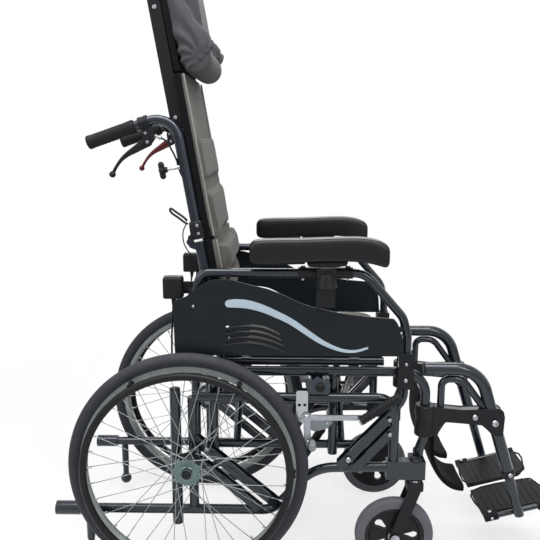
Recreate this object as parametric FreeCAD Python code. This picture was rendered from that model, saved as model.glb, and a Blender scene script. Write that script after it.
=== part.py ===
"""A folding wheelchair whose seat tilts in space. X forward, Y to the sitter's left, Z up, millimetres."""
import FreeCAD, Part
import math
import os

# Planes of the two sides, measured out from the middle of the chair
BASE_PLANE = 205.0
SEAT_PLANE = 178.0
BRACE_PLANE = 154.0
ARM_PLANE = 205.0
PAD_PLANE = 222.0
WHEEL_PLANE = 250.0
HANDRIM_PLANE = 290.0
GAS_PLANE = 128.0

# Tube radii and clearances
BASE_R = 12.5
SEAT_R = 11.0
CANE_R = 12.5
ARM_R = 11.0
HANGER_R = 16.0
LOOP_R = 9.5
RUN_FIT = 0.05
GAP = 0.3

# Rear wheel, about the axle at X = 0
WHEEL_R = 305.0
TYRE_R = 17.5
RIM_OUTER = 274.0
RIM_INNER = 257.0
RIM_HALF = 11.0
HUB_R = 17.0
FLANGE_R = 33.0
FLANGE_OFFSET = 22.0
HUB_HALF = 28.0
FLANGE_HALF = 2.0
BUTTON_R = 13.6
BUTTON_LENGTH = 8.0
SPOKE_R = 1.0
SPOKES = 36
SPOKE_LEAD = 62.0
SPOKE_SPREAD = 2.4
SPOKE_SEAT = 1.5
AXLE_R = 6.35
HANDRIM_R = 258.0
HANDRIM_TUBE = 9.5

# Caster
CASTER_R = 102.5
CASTER_RIM = 78.0
CASTER_HALF = 14.0
CASTER_X = 533.5
STEM_X = 583.0
STEM_R = 10.0
FORK_INNER = 17.0
FORK_T = 6.0

# Base side frame
TOP_Z = 480.0
FRONT_X = 525.0
POST_X = 8.0
REAR_POST_X = -36.0
REAR_POST_R = 14.0
TIP_Z = 168.0
BLOCK_X0, BLOCK_X1 = 507.0, 607.0
BLOCK_Z0, BLOCK_Z1 = 262.0, 312.0

# Seat side frame
PIVOT_X, PIVOT_Z = 327.0, 516.0
PIN_R = 8.0
RAIL_Z = 541.0
RAIL_R = 12.5
UPRIGHT_R = 12.2
CANE_FOOT = -341.0
RAIL_REAR = -55.0
FRONT_TUBE_X = 607.0
UPRIGHT_X = (60.0, 370.0)

# Gas spring, from the base frame's lower tube to the seat frame's front upright
GAS_FOOT = (262.0, 221.7)
GAS_HEAD = (370.0, 405.0)
GAS_R = 11.0
GAS_BODY = 164.0
GAS_ROD_R = 5.0
GAS_ROD_START = 70.0
GAS_PIN_R = 5.0
GAS_LOOSE_R = 9.0
GAS_EYE_HALF = 7.5

# Cross brace
BRACE_LOW_Z = 330.0
BRACE_RISE = 230.0
BRACE_R = 11.0
BRACE_ARM_R = 10.0
BRACE_A_X = (118.0, 395.0)
BRACE_B_X = (146.0, 423.0)
EYE_R = 14.0
EYE_HALF = 12.5

# Back
HINGE_X, HINGE_Z = 30.0, 880.0
RECLINE = 9.7
HANDLE_SLOPE = 18.9
HANDLE_RISE = 314.0
HANDLE_REACH = 219.0
HANDLE_BEND = 55.0
GRIP_R = 17.0
GRIP_LENGTH = 118.0
LEVER_DROP = 45.0
LEVER_FROM_END = 141.0
HINGE_PIN_BACK = 22.0
BACK_HALF = 182.0
HEAD_HALF = 166.0
SLING_HALF = 156.0
SLING_T = 3.0
PAD_FOOT, PAD_TOP = -165.0, 404.0
LUMBAR_DEPTH = 74.0
PAD_DEPTH = 64.0
PAD_SPLIT = 1.5

# Arm
ARM_PIVOT_X, ARM_PIVOT_Z = 17.0, 745.0
ARM_TOP_Z = 803.0
SLEEVE_R = 14.2
ARM_FRONT_X = 550.0
POST_BOX = (14.7, 6.0)
POST_CENTRE_X = 344.0
PANEL_T = 6.0
PANEL_IN = 219.0

# Footrest
LEAN = 17.5
LEG_LENGTH = 425.0
PLATE_PITCH = 15.0
PLATE_PLANE = 157.0
PLATE_INNER = 18.0
PLATE_LENGTH = 180.0
PLATE_T = 12.0
PLATE_X, PLATE_Z = 785.0, 121.0

V = FreeCAD.Vector
nodes = {}


def box(x0, x1, y0, y1, z0, z1):
    return Part.makeBox(x1 - x0, y1 - y0, z1 - z0, V(x0, y0, z0))


def rod(p, q, radius):
    p, q = V(*p), V(*q)
    return Part.makeCylinder(radius, (q - p).Length, p, q - p)


def ball(p, radius):
    return Part.makeSphere(radius, V(*p))


def across(x, z, y0, y1, radius):
    """A round bar that runs across the chair."""
    return rod((x, y0, z), (x, y1, z), radius)


def fuse(*shapes):
    return shapes[0].multiFuse(list(shapes[1:])).removeSplitter() if len(shapes) > 1 else shapes[0]


def route(points, bends):
    """A wire of straight runs through the points, with a tangent arc at each corner."""
    corners = [V(*p) for p in points]
    edges = []
    start = corners[0]
    for i in range(1, len(corners) - 1):
        before = (corners[i - 1] - corners[i]).normalize()
        after = (corners[i + 1] - corners[i]).normalize()
        half = before.getAngle(after) / 2
        cut = bends[i - 1] / math.tan(half)
        p = corners[i] + before * cut
        q = corners[i] + after * cut
        middle = (before + after).normalize()
        m = corners[i] + middle * (bends[i - 1] / math.sin(half) - bends[i - 1])
        if (p - start).Length > 1e-6:
            edges.append(Part.LineSegment(start, p).toShape())
        edges.append(Part.Arc(p, m, q).toShape())
        start = q
    edges.append(Part.LineSegment(start, corners[-1]).toShape())
    return Part.Wire(edges)


def bent(points, bends, radius):
    """A round tube bent along the points."""
    wire = route(points, bends)
    first = V(*points[1]) - V(*points[0])
    circle = Part.Wire(Part.makeCircle(radius, V(*points[0]), first))
    return wire.makePipeShell([circle], True, False)


def in_plane(y, points):
    return [(x, y, z) for x, z in points]


def plate(points, y0, y1):
    """A flat plate of the outline (x, z), between two planes across the chair."""
    wire = Part.makePolygon([V(x, y0, z) for x, z in points + points[:1]])
    return Part.Face(wire).extrude(V(0, y1 - y0, 0))


def strap(p, q, width, y0, y1):
    """A flat link with round ends from p to q (x, z)."""
    dx, dz = q[0] - p[0], q[1] - p[1]
    length = math.hypot(dx, dz)
    nx, nz = -dz / length * width / 2, dx / length * width / 2
    bar = plate([(p[0] + nx, p[1] + nz), (q[0] + nx, q[1] + nz),
                 (q[0] - nx, q[1] - nz), (p[0] - nx, p[1] - nz)], y0, y1)
    return fuse(bar, across(p[0], p[1], y0, y1, width / 2), across(q[0], q[1], y0, y1, width / 2))


def ring(x, y, z, profile):
    """A body turned about an axle across the chair, from (radius, offset) points."""
    wire = Part.makePolygon([V(x, y + o, z + r) for r, o in profile + profile[:1]])
    return Part.Face(wire).revolve(V(x, y, z), V(0, 1, 0), 360)


def soft(shape, radius):
    """Round every edge of a plain block that stands for upholstery."""
    return shape.makeFillet(radius, shape.Edges)


def mirror(shape):
    return shape.mirror(V(0, 0, 0), V(0, 1, 0))


def back_point(offset, along):
    """A point beside the back tube: offset forward of its line, along it from the fold hinge."""
    a = math.radians(RECLINE)
    return (HINGE_X + offset * math.cos(a) - along * math.sin(a),
            HINGE_Z + offset * math.sin(a) + along * math.cos(a))


def back_plate(points, y0, y1):
    return plate([back_point(o, s) for o, s in points], y0, y1)


# Rear wheel: a solid tyre on a channel rim, laced to a hub that turns on a quick-release axle
def tyre():
    torus = Part.makeTorus(WHEEL_R - TYRE_R, TYRE_R, V(0, -WHEEL_PLANE, WHEEL_R), V(0, 1, 0))
    return torus.cut(across(0, WHEEL_R, -WHEEL_PLANE - TYRE_R, -WHEEL_PLANE + TYRE_R, RIM_OUTER))


def rim():
    inner_half = RIM_HALF * 0.5
    shoulder = RIM_INNER + 6.0
    profile = [(RIM_INNER, -inner_half), (shoulder, -RIM_HALF), (RIM_OUTER, -RIM_HALF),
               (RIM_OUTER, RIM_HALF), (shoulder, RIM_HALF), (RIM_INNER, inner_half)]
    return ring(0, -WHEEL_PLANE, WHEEL_R, profile)


def hub_body():
    y = -WHEEL_PLANE
    parts = [across(0, WHEEL_R, y - HUB_HALF, y + HUB_HALF, HUB_R)]
    for side in (-1, 1):
        flange = y + side * FLANGE_OFFSET
        parts.append(across(0, WHEEL_R, flange - FLANGE_HALF, flange + FLANGE_HALF, FLANGE_R))
    parts.append(across(0, WHEEL_R, y - HUB_HALF - BUTTON_LENGTH, y - HUB_HALF, BUTTON_R))
    parts.append(across(0, WHEEL_R, y + HUB_HALF, -(BASE_PLANE - BASE_R), AXLE_R))
    return fuse(*parts)


def hub():
    """The hub, and the spokes that lead off each flange to the rim, every other one the other way."""
    y = -WHEEL_PLANE
    spokes = []
    per_flange = SPOKES // 2
    inner, outer = FLANGE_R + GAP, RIM_INNER + SPOKE_SEAT
    for side in (-1, 1):
        for i in range(per_flange):
            way = 1 if i % 2 else -1
            turn = 360.0 * (i + (0.5 if side > 0 else 0)) / per_flange
            a, b = math.radians(turn + way * SPOKE_LEAD), math.radians(turn)
            lift = y + side * FLANGE_OFFSET + way * SPOKE_R
            p = (inner * math.sin(a), lift, WHEEL_R + inner * math.cos(a))
            q = (outer * math.sin(b), y + side * SPOKE_SPREAD, WHEEL_R + outer * math.cos(b))
            spokes.append(rod(p, q, SPOKE_R))
    return Part.makeCompound([hub_body()] + spokes)


def handrim():
    torus = Part.makeTorus(HANDRIM_R, HANDRIM_TUBE, V(0, -HANDRIM_PLANE, WHEEL_R), V(0, 1, 0))
    tabs = []
    for i in range(6):
        a = math.radians(60 * i + 30)
        x, z = 266.0 * math.sin(a), WHEEL_R + 266.0 * math.cos(a)
        tabs.append(across(x, z, -HANDRIM_PLANE + 2, -WHEEL_PLANE - RIM_HALF, 4.0))
    return fuse(torus, *tabs)


# Caster: a fork on a vertical stem carries a five-spoke wheel with a grey tyre
def caster_fork():
    y = -BASE_PLANE
    crown = box(STEM_X - 22, STEM_X + 20, y - FORK_INNER - FORK_T, y + FORK_INNER + FORK_T, 234, 254)
    crown = crown.makeFillet(5, [e for e in crown.Edges if abs(e.tangentAt(e.FirstParameter).z) > 0.9])
    parts = [crown]
    for side in (-1, 1):
        a = y + side * FORK_INNER
        b = y + side * (FORK_INNER + FORK_T)
        parts.append(strap((STEM_X - 1, 240), (CASTER_X, CASTER_R), 30, min(a, b), max(a, b)))
    parts.append(rod((STEM_X, y, 254), (STEM_X, y, BLOCK_Z0 - GAP), 14))
    parts.append(rod((STEM_X, y, 254), (STEM_X, y, BLOCK_Z1 - 12), STEM_R - RUN_FIT))
    parts.append(across(CASTER_X, CASTER_R, y - FORK_INNER - 1, y + FORK_INNER + 1, 6.0))
    for side in (-1, 1):
        face = y + side * (FORK_INNER + FORK_T)
        parts.append(across(CASTER_X, CASTER_R, min(face, face + side * 5), max(face, face + side * 5), 10))
    return fuse(*parts)


def caster_wheel():
    y = -BASE_PLANE
    disc = ring(CASTER_X, y, CASTER_R, [(6.0 + RUN_FIT, -15), (17, -15), (20, -6), (64, -5), (68, -11),
                                       (CASTER_RIM, -11), (CASTER_RIM, 11), (68, 11), (64, 5), (20, 6),
                                       (17, 15), (6.0 + RUN_FIT, 15)])
    holes = []
    for i in range(5):
        a = math.radians(72 * i + 20)
        near = (CASTER_X + 31 * math.sin(a), CASTER_R + 31 * math.cos(a))
        far = (CASTER_X + 51 * math.sin(a), CASTER_R + 51 * math.cos(a))
        wide = across(far[0], far[1], y - 20, y + 20, 11)
        narrow = across(near[0], near[1], y - 20, y + 20, 5)
        ux, uz = math.sin(a), math.cos(a)
        web = plate([(far[0] + uz * 10.6, far[1] - ux * 10.6), (far[0] - uz * 10.6, far[1] + ux * 10.6),
                     (near[0] - uz * 4.8, near[1] + ux * 4.8), (near[0] + uz * 4.8, near[1] - ux * 4.8)],
                    y - 20, y + 20)
        holes.append(fuse(wide, narrow, web))
    return disc.cut(Part.makeCompound(holes))


def caster_tyre():
    y = -BASE_PLANE
    round_r = 9.0
    body = ring(CASTER_X, y, CASTER_R, [(CASTER_RIM, -CASTER_HALF), (CASTER_R, -CASTER_HALF),
                                       (CASTER_R, CASTER_HALF), (CASTER_RIM, CASTER_HALF)])
    edges = [e for e in body.Edges if hasattr(e.Curve, "Radius") and abs(e.Curve.Radius - CASTER_R) < 1e-3]
    return body.makeFillet(round_r, edges)


# Base side frame: welded tubes that carry the axle, the caster block and the tilt pivot
def base_frame():
    y = -BASE_PLANE
    out = -BASE_PLANE - BASE_R
    inn = -BASE_PLANE + BASE_R
    parts = [
        bent(in_plane(y, [(POST_X, TOP_Z), (FRONT_X, TOP_Z), (FRONT_X, BLOCK_Z0 + 20)]), [45], BASE_R),
        rod((REAR_POST_X, y, 132), (REAR_POST_X, y, 500), REAR_POST_R),
        rod((POST_X, y, TIP_Z), (POST_X, y, TOP_Z), BASE_R),
        bent(in_plane(y, [(FRONT_X, 292), (320, 288), (215, TIP_Z), (-225, TIP_Z)]), [120, 60], BASE_R),
        box(BLOCK_X0, BLOCK_X1, y - 14, y + 14, BLOCK_Z0, BLOCK_Z1),
        box(570, BLOCK_X1, y - 14, y + 41, BLOCK_Z0, BLOCK_Z1),
        across(0, WHEEL_R, -221.5, -(BASE_PLANE - BASE_R - 0.5), 20),
    ]
    for y0 in (out, inn - 5):
        parts.append(strap((392, 302), (FRONT_X - 6, 440), 24, y0, y0 + 5))
        parts.append(strap((428, 292), (FRONT_X - 4, 396), 22, y0, y0 + 5))
        parts.append(strap((POST_X, 372), (222, 190), 24, y0, y0 + 5))
        parts.append(strap((POST_X, 322), (180, 172), 20, y0, y0 + 5))
    parts.append(across(408, 318, out - 4, inn, 9))
    parts.append(across(45, 342, out - 4, inn, 8))
    # tilt pivot: an ear that stands on the top rail, with a pin for the seat frame's boss
    parts.append(plate([(PIVOT_X - 26, TOP_Z), (PIVOT_X + 26, TOP_Z), (PIVOT_X + 18, PIVOT_Z),
                        (PIVOT_X - 18, PIVOT_Z)], y - 7, y + 9))
    parts.append(across(PIVOT_X, PIVOT_Z, y - 10, y + 12, 19))
    parts.append(across(PIVOT_X, PIVOT_Z, y, -(SEAT_PLANE - SEAT_R - 2), PIN_R))
    parts.append(across(*GAS_FOOT, y, -(GAS_PLANE - 11), GAS_PIN_R))
    # wheel lock clamp on the top rail
    parts.append(box(275, 301, out - 2, out + 6, 422, 503))
    parts.append(box(275, 301, out - 2, inn - 6, 493, 503))
    parts.append(across(300, 436, out - 16, out + 2, 5.0))
    parts.append(across(300, 436, out - 8, out + 2, 12))
    frame = fuse(*parts)
    frame = frame.cut(across(0, WHEEL_R, -230, -180, AXLE_R + RUN_FIT))
    frame = frame.cut(rod((STEM_X, y, BLOCK_Z0 - 1), (STEM_X, y, BLOCK_Z1 - 10), STEM_R))
    frame = frame.cut(rod((-230, y, TIP_Z), (-140, y, TIP_Z), 10.0))
    return frame


def anti_tip():
    y = -BASE_PLANE
    leg_x = -270.0
    return fuse(
        rod((-145, y, TIP_Z), (-226, y, TIP_Z), 10.0 - RUN_FIT),
        rod((-225.4, y, TIP_Z), (-300, y, TIP_Z), BASE_R),
        rod((-292, y, TIP_Z), (-357, y, TIP_Z), 18),
        rod((leg_x, y, TIP_Z), (leg_x, y, 42), 9),
        rod((leg_x, y, TIP_Z - 16), (leg_x, y, 84), 10.5),
        ball((leg_x, y, 40), 17),
    )


# Seat side frame, which tilts on the base frame's pin
def seat_frame():
    y = -SEAT_PLANE
    foot = back_point(0, CANE_FOOT)
    top = back_point(0, -3)
    parts = [
        bent(in_plane(y, [(RAIL_REAR, RAIL_Z), (FRONT_TUBE_X, RAIL_Z), (FRONT_TUBE_X, 360), (595, 326)]),
             [62, 45], RAIL_R),
        rod((foot[0], y, foot[1]), (top[0], y, top[1]), CANE_R),
        rod((594, y, BLOCK_Z1 + GAP), (594, y, 330), 13.5),
        across(PIVOT_X, PIVOT_Z, y - 11, y + 11, 19),
    ]
    for x in UPRIGHT_X:
        parts.append(rod((x, y, RAIL_Z), (x, y, BRACE_LOW_Z - 14), UPRIGHT_R))
        parts.append(box(x - 12, x + 12, y, -BRACE_PLANE, BRACE_LOW_Z - 14, BRACE_LOW_Z + 14))
        parts.append(rod((x - 12, -BRACE_PLANE, BRACE_LOW_Z), (x + 12, -BRACE_PLANE, BRACE_LOW_Z), EYE_R))
    # arm hinge ear and pin
    parts.append(plate([(2, 728), (60, 728), (58, 764), (2, 762)], y - 10, y - 2))
    parts.append(across(ARM_PIVOT_X, ARM_PIVOT_Z, -(ARM_PLANE + ARM_R), y - 5, 5.0))
    # cradle that the front of the arm drops into
    parts.append(box(530, 540, -217, y, 520, 552))
    cradle = box(530, 564, -219, -191, 512, 600)
    slot = box(ARM_FRONT_X - ARM_R - GAP, 570, -ARM_PLANE - ARM_R - GAP, -ARM_PLANE + ARM_R + GAP, 561, 601)
    parts.append(cradle.cut(slot))
    # hinge knuckles of the folding back
    pin = back_point(-HINGE_PIN_BACK, 0)
    for y0, y1 in ((y - 12.5, y - 6.4), (y + 6.4, y + 12.5)):
        parts.append(across(pin[0], pin[1], y0, y1, 8))
        cheek = [(-HINGE_PIN_BACK - 6, -4), (4, -4), (4, -30), (-HINGE_PIN_BACK - 2, -14)]
        parts.append(back_plate(cheek, y0, y1))
    parts.append(across(pin[0], pin[1], y - 12.5, y + 12.5, 3))
    # gas spring head pin
    parts.append(across(*GAS_HEAD, y, -(GAS_PLANE - 11), GAS_PIN_R - 1))
    frame = fuse(*parts)
    frame = frame.cut(across(PIVOT_X, PIVOT_Z, y - 30, y + 30, PIN_R + RUN_FIT))
    for x in UPRIGHT_X:
        frame = frame.cut(rod((x - 13, -BRACE_PLANE, BRACE_LOW_Z), (x + 13, -BRACE_PLANE, BRACE_LOW_Z),
                              BRACE_R + RUN_FIT))
    return frame


def cable_box():
    y = -SEAT_PLANE
    shell = box(-62, -12, y - 16, y + 16, 732, 786)
    shell = shell.makeFillet(5, shell.Edges)
    neck = box(-14, 46, y - 1.7, y + 8, 744, 774)
    cable = bent(in_plane(y, [(-37, 736), (-44, 640), (-46, RAIL_Z + 12.6)]), [300], 2.5)
    seat_tube = rod((back_point(0, -300)[0], y, back_point(0, -300)[1]),
                    (back_point(0, 0)[0], y, back_point(0, 0)[1]), CANE_R)
    return fuse(shell, neck, cable).cut(seat_tube)


def gas_point(along):
    """A point on the gas spring's line, along it from its foot."""
    dx, dz = GAS_HEAD[0] - GAS_FOOT[0], GAS_HEAD[1] - GAS_FOOT[1]
    length = math.hypot(dx, dz)
    return V(GAS_FOOT[0] + dx / length * along, -GAS_PLANE, GAS_FOOT[1] + dz / length * along)


def gas_cylinder():
    y = -GAS_PLANE
    body = rod(gas_point(14), gas_point(GAS_BODY), GAS_R)
    eye = across(*GAS_FOOT, y - GAS_EYE_HALF, y + GAS_EYE_HALF, GAS_R)
    neck = rod(gas_point(0), gas_point(20), 7)
    shape = fuse(body, eye, neck).cut(across(*GAS_FOOT, y - 12, y + 12, GAS_PIN_R + RUN_FIT))
    return shape.cut(rod(gas_point(GAS_ROD_START - 10), gas_point(GAS_BODY + 5), GAS_ROD_R + RUN_FIT))


def gas_rod():
    """The rod, whose eye has a little play on the seat frame's pin."""
    y = -GAS_PLANE
    length = math.hypot(GAS_HEAD[0] - GAS_FOOT[0], GAS_HEAD[1] - GAS_FOOT[1])
    stem = rod(gas_point(GAS_ROD_START), gas_point(length - 10), GAS_ROD_R)
    eye = across(*GAS_HEAD, y - GAS_EYE_HALF, y + GAS_EYE_HALF, GAS_LOOSE_R + 5)
    return fuse(stem, eye).cut(across(*GAS_HEAD, y - 9, y + 9, GAS_LOOSE_R))


# Upper back: tubes with push handles that fold down behind the seat
def handle_path():
    """The push handle's line (x, z): its rear end, the corner of its bend and its foot at the hinge."""
    slope = math.radians(HANDLE_SLOPE)
    corner = back_point(0, HANDLE_RISE)
    rear = (corner[0] - HANDLE_REACH * math.cos(slope), corner[1] - HANDLE_REACH * math.sin(slope))
    foot = back_point(0, 3)
    return rear, corner, foot


def push_handle():
    y = -SEAT_PLANE
    rear, corner, foot = handle_path()
    pin = back_point(-HINGE_PIN_BACK, 0)
    parts = [bent(in_plane(y, [rear, corner, foot]), [HANDLE_BEND], CANE_R)]
    parts.append(across(pin[0], pin[1], y - 6, y + 6, 8))
    tongue = [(-HINGE_PIN_BACK - 6, 4), (4, 4), (4, 30), (-HINGE_PIN_BACK - 2, 14)]
    parts.append(back_plate(tongue, y - 6, y + 6))
    for s in (182, 250):
        guide = back_plate([(-20.5, s), (12.7, s), (12.7, s + 24), (-20.5, s + 24)], -167, -146)
        slot = back_plate([(-16.8, s - 1), (13, s - 1), (13, s + 25), (-16.8, s + 25)], -164.3, -149.7)
        parts.append(guide.cut(slot))
    return fuse(*parts).cut(across(pin[0], pin[1], y - 8, y + 8, 3 + RUN_FIT))


def back_extension():
    bar = back_plate([(-16.5, 168), (12.5, 168), (12.5, 640), (-16.5, 640)], -164, -150)
    return bar


def handle_fittings():
    y = -SEAT_PLANE
    rear, corner, foot = handle_path()
    ux, uz = math.cos(math.radians(HANDLE_SLOPE)), math.sin(math.radians(HANDLE_SLOPE))
    grip = rod((rear[0] - ux * 6, y, rear[1] - uz * 6),
               (rear[0] + ux * GRIP_LENGTH, y, rear[1] + uz * GRIP_LENGTH), GRIP_R)
    grip = grip.makeFillet(4, [e for e in grip.Edges if e.Closed])
    bore = rod((rear[0], y, rear[1]), (rear[0] + ux * 130, y, rear[1] + uz * 130), CANE_R)
    grip = grip.cut(bore)
    a = (rear[0] + ux * 130, rear[1] + uz * 130)
    b = (rear[0] + ux * 152, rear[1] + uz * 152)
    collar = rod((a[0], y, a[1]), (b[0], y, b[1]), GRIP_R)
    lever = lever_pivot()
    ears = []
    for y0, y1 in ((y - 10, y - 6), (y + 6, y + 10)):
        ears.append(strap((lever[0], lever[1]), (lever[0] - 2, lever[1] + 34), 18, y0, y1))
    bracket = fuse(collar, *ears, across(lever[0], lever[1], y - 10, y + 10, 3),
                   box(lever[0] - 12, lever[0] + 8, y - 10, y + 10, lever[1] + 22, lever[1] + 40))
    bracket = bracket.cut(rod((a[0] - ux * 5, y, a[1] - uz * 5), (b[0] + ux * 5, y, b[1] + uz * 5), CANE_R))
    end = back_point(-12, 168)
    cable = bent(in_plane(y, [(lever[0] + 3, lever[1] + 28), (lever[0] + 26, lever[1] + 22),
                              (lever[0] + 46, lever[1] - 14), end]), [16, 22], 2.2)
    knob_on = back_point(-12.5, 178)
    knob_at = back_point(-50, 178)
    stem = rod((knob_on[0], y, knob_on[1]), (knob_at[0], y, knob_at[1]), 4)
    n = back_point(-60, 178)
    boss = rod((knob_at[0], y, knob_at[1]), (n[0], y, n[1]), 9)
    low, high = back_point(-56, 158), back_point(-56, 198)
    bar = rod((low[0], y, low[1]), (high[0], y, high[1]), 7)
    knob = fuse(stem, boss, bar, ball((low[0], y, low[1]), 8), ball((high[0], y, high[1]), 8))
    latch = back_plate([(-32, 34), (-12.5, 34), (-12.5, 78), (-24, 78), (-34, 60)], y - 9, y + 9)
    loop_out = back_plate([(-24, 70), (-64, 96), (-60, 108), (-16, 84)], y - 6, y + 6)
    latch = fuse(latch, loop_out)
    tube = bent(in_plane(y, [rear, corner, foot]), [HANDLE_BEND], CANE_R)
    solids = [grip, bracket, cable.cut(bracket).cut(tube), knob.cut(tube), latch.cut(tube)]
    return Part.makeCompound(solids)


def lever_pivot():
    rear = handle_path()[0]
    slope = math.radians(HANDLE_SLOPE)
    ahead, up = LEVER_FROM_END * math.cos(slope), LEVER_FROM_END * math.sin(slope)
    return (rear[0] + ahead + 8, rear[1] + up - LEVER_DROP)


def hand_lever():
    y = -SEAT_PLANE
    px, pz = lever_pivot()
    elbow = (px - 46, pz - 30)
    end = (px - 90, pz - 78)
    tip = Part.makeSphere(8, V(end[0], y, end[1]), V(0, 1, 0))
    body = fuse(across(px, pz, y - 5.5, y + 5.5, 9), strap((px, pz), elbow, 13, y - 4.5, y + 4.5),
                strap(elbow, end, 8, y - 4, y + 4), tip)
    return body.cut(across(px, pz, y - 8, y + 8, 3 + RUN_FIT))


# Arm: a bent tube hinged at the back, a guard panel and a pad on a sliding post
def arm_points():
    return [(ARM_PIVOT_X, ARM_PIVOT_Z), (38, ARM_TOP_Z), (440, ARM_TOP_Z), (538, 690), (ARM_FRONT_X, 640),
            (ARM_FRONT_X, 562)]


def arm_frame():
    y = -ARM_PLANE
    tube = bent(in_plane(y, arm_points()), [28, 60, 50, 40], ARM_R)
    eye = across(ARM_PIVOT_X, ARM_PIVOT_Z, y - ARM_R - 1, y + ARM_R + 1, 13)
    return fuse(tube, eye).cut(across(ARM_PIVOT_X, ARM_PIVOT_Z, y - 30, y + 30, 5 + RUN_FIT))


def arm_clamp():
    y = -ARM_PLANE
    px, pw = POST_CENTRE_X, POST_BOX
    sleeve = rod((276, y, ARM_TOP_Z), (410, y, ARM_TOP_Z), SLEEVE_R)
    body = box(px - 24, px + 24, -(PAD_PLANE + 16), y, 780, 818)
    body = body.makeFillet(6, [e for e in body.Edges if abs(e.tangentAt(e.FirstParameter).z) > 0.9])
    cone = Part.makeCone(27, 19, 34, V(px, -(PAD_PLANE + 5), 772), V(0, 0, 1))
    socket = box(px - 22, px + 22, -(PAD_PLANE + 12), -(PAD_PLANE - 10), 722, 785)
    solid = fuse(sleeve, body, cone, socket)
    hole = box(px - pw[0] - GAP, px + pw[0] + GAP, -(PAD_PLANE + pw[1] + GAP), -(PAD_PLANE - pw[1] - GAP),
               700, 830)
    return solid.cut(hole).cut(rod((270, y, ARM_TOP_Z), (416, y, ARM_TOP_Z), ARM_R))


def arm_pad():
    px, pw = POST_CENTRE_X, POST_BOX
    profile = [(158, 838), (160, 884), (172, 890), (280, 891), (352, 895), (412, 896), (462, 891), (486, 880),
               (493, 862), (494, 838), (482, 822), (462, 829), (430, 836), (378, 838), (300, 836), (232, 832),
               (184, 830)]
    body = plate(profile, -(PAD_PLANE + 26), -(PAD_PLANE - 26))
    long_edges = [e for e in body.Edges if abs(abs(e.tangentAt(e.FirstParameter).y)) < 0.1]
    body = body.makeFillet(6, long_edges)
    seat = box(px - 34, px + 34, -(PAD_PLANE + 14), -(PAD_PLANE - 14), 824, 840)
    seat = seat.cut(body)
    post = box(px - pw[0], px + pw[0], -(PAD_PLANE + pw[1]), -(PAD_PLANE - pw[1]), 726, 825)
    return Part.makeCompound([body, fuse(seat, post)])


def side_panel():
    y0, y1 = -(PANEL_IN + PANEL_T), -PANEL_IN
    lower = [(-30, 597), (538, 597), (530, 660), (512, 692)]
    upper = [(450, 697), (394, 704), (357, 711), (313, 721), (280, 732), (249, 748), (200, 766), (150, 777),
             (110, 790), (60, 788), (30, 768), (0, 745), (-29, 737)]
    panel = plate(lower + upper, y0, y1)
    for k in range(4):
        z = 620 + 17 * k
        x0, x1 = 92 + 8 * k, 250 - 12 * k
        panel = panel.cut(box(x0, x1, y0 - 1, y1 + 1, z, z + 5))
    inner_end = -(ARM_PLANE + ARM_R - 4)
    rear_boss = across(104, ARM_TOP_Z - 9, y1, inner_end, 5)
    front_boss = across(532, 664, y1, inner_end, 5)
    return fuse(panel, front_boss, rear_boss)


# Footrest hanger, which swings out about the seat frame's front tube
def leg_point(along):
    a = math.radians(LEAN)
    return (742 + along * math.sin(a), 549 - along * math.cos(a))


def hanger():
    y = -SEAT_PLANE
    knee = leg_point(0)
    low = leg_point(300)
    foot = leg_point(LEG_LENGTH)
    main = bent(in_plane(y, [(602, knee[1]), knee, low]), [82], HANGER_R)
    stem = rod((low[0], y, low[1]), (foot[0], y, foot[1]), 12.5)
    loop = bent(in_plane(y, [(647, 430), (647, 522), (700, 522), leg_point(150)]), [20, 40], LOOP_R)
    ring_out = rod((FRONT_TUBE_X, y, 372), (FRONT_TUBE_X, y, 452), 23)
    arm = plate([(610, 452), (700, 442), (796, 446), (808, 424), (806, 372), (780, 378), (752, 404),
                 (660, 412), (640, 376), (610, 370)], y - 13, y + 13)
    bar = hinge_bar()
    lug = rod((foot[0], y, foot[1]), (foot[0], -PLATE_PLANE, foot[1]), 8)
    body = fuse(main, stem, loop, ring_out, arm, bar, lug)
    return body.cut(rod((FRONT_TUBE_X, y, 360), (FRONT_TUBE_X, y, 500), 12.5 + RUN_FIT))


def plate_point(along, inboard=0.0, lift=0.0):
    a = math.radians(PLATE_PITCH)
    return (PLATE_X + along * math.cos(a) - lift * math.sin(a), -PLATE_PLANE + inboard,
            PLATE_Z + along * math.sin(a) + lift * math.cos(a))


def hinge_bar():
    return rod(plate_point(20), plate_point(PLATE_LENGTH - 20), 7)


def footplate():
    span = PLATE_PLANE - PLATE_INNER
    flat = Part.makePolygon([V(*plate_point(0, 12)), V(*plate_point(PLATE_LENGTH, 12)),
                             V(*plate_point(PLATE_LENGTH, span - 30)), V(*plate_point(PLATE_LENGTH - 30, span)),
                             V(*plate_point(0, span)), V(*plate_point(0, 12))])
    up = V(*plate_point(0, 0, 1)) - V(*plate_point(0))
    slab = Part.Face(flat).extrude(up * PLATE_T)
    slab.translate(up * (-PLATE_T / 2))
    parts = [slab]
    for s0, s1 in ((0, 36), (PLATE_LENGTH - 36, PLATE_LENGTH)):
        parts.append(rod(plate_point(s0), plate_point(s1), 11))
        corners = [(s0, 0), (s1, 0), (s1, 14), (s0, 14), (s0, 0)]
        web = Part.makePolygon([V(*plate_point(s, inboard)) for s, inboard in corners])
        block = Part.Face(web).extrude(up * PLATE_T)
        block.translate(up * (-PLATE_T / 2))
        parts.append(block)
    return fuse(*parts).cut(rod(plate_point(-5), plate_point(PLATE_LENGTH + 5), 7 + RUN_FIT))


def calf_strap():
    outline = [(634, 404), (628, 330), (633, 290), (648, 250), (676, 222), (712, 214), (744, 216),
               (744, 232), (716, 232), (686, 240), (660, 262), (646, 296), (642, 330), (650, 404)]
    return plate(outline, -(SEAT_PLANE - 13.3), -26)


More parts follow.
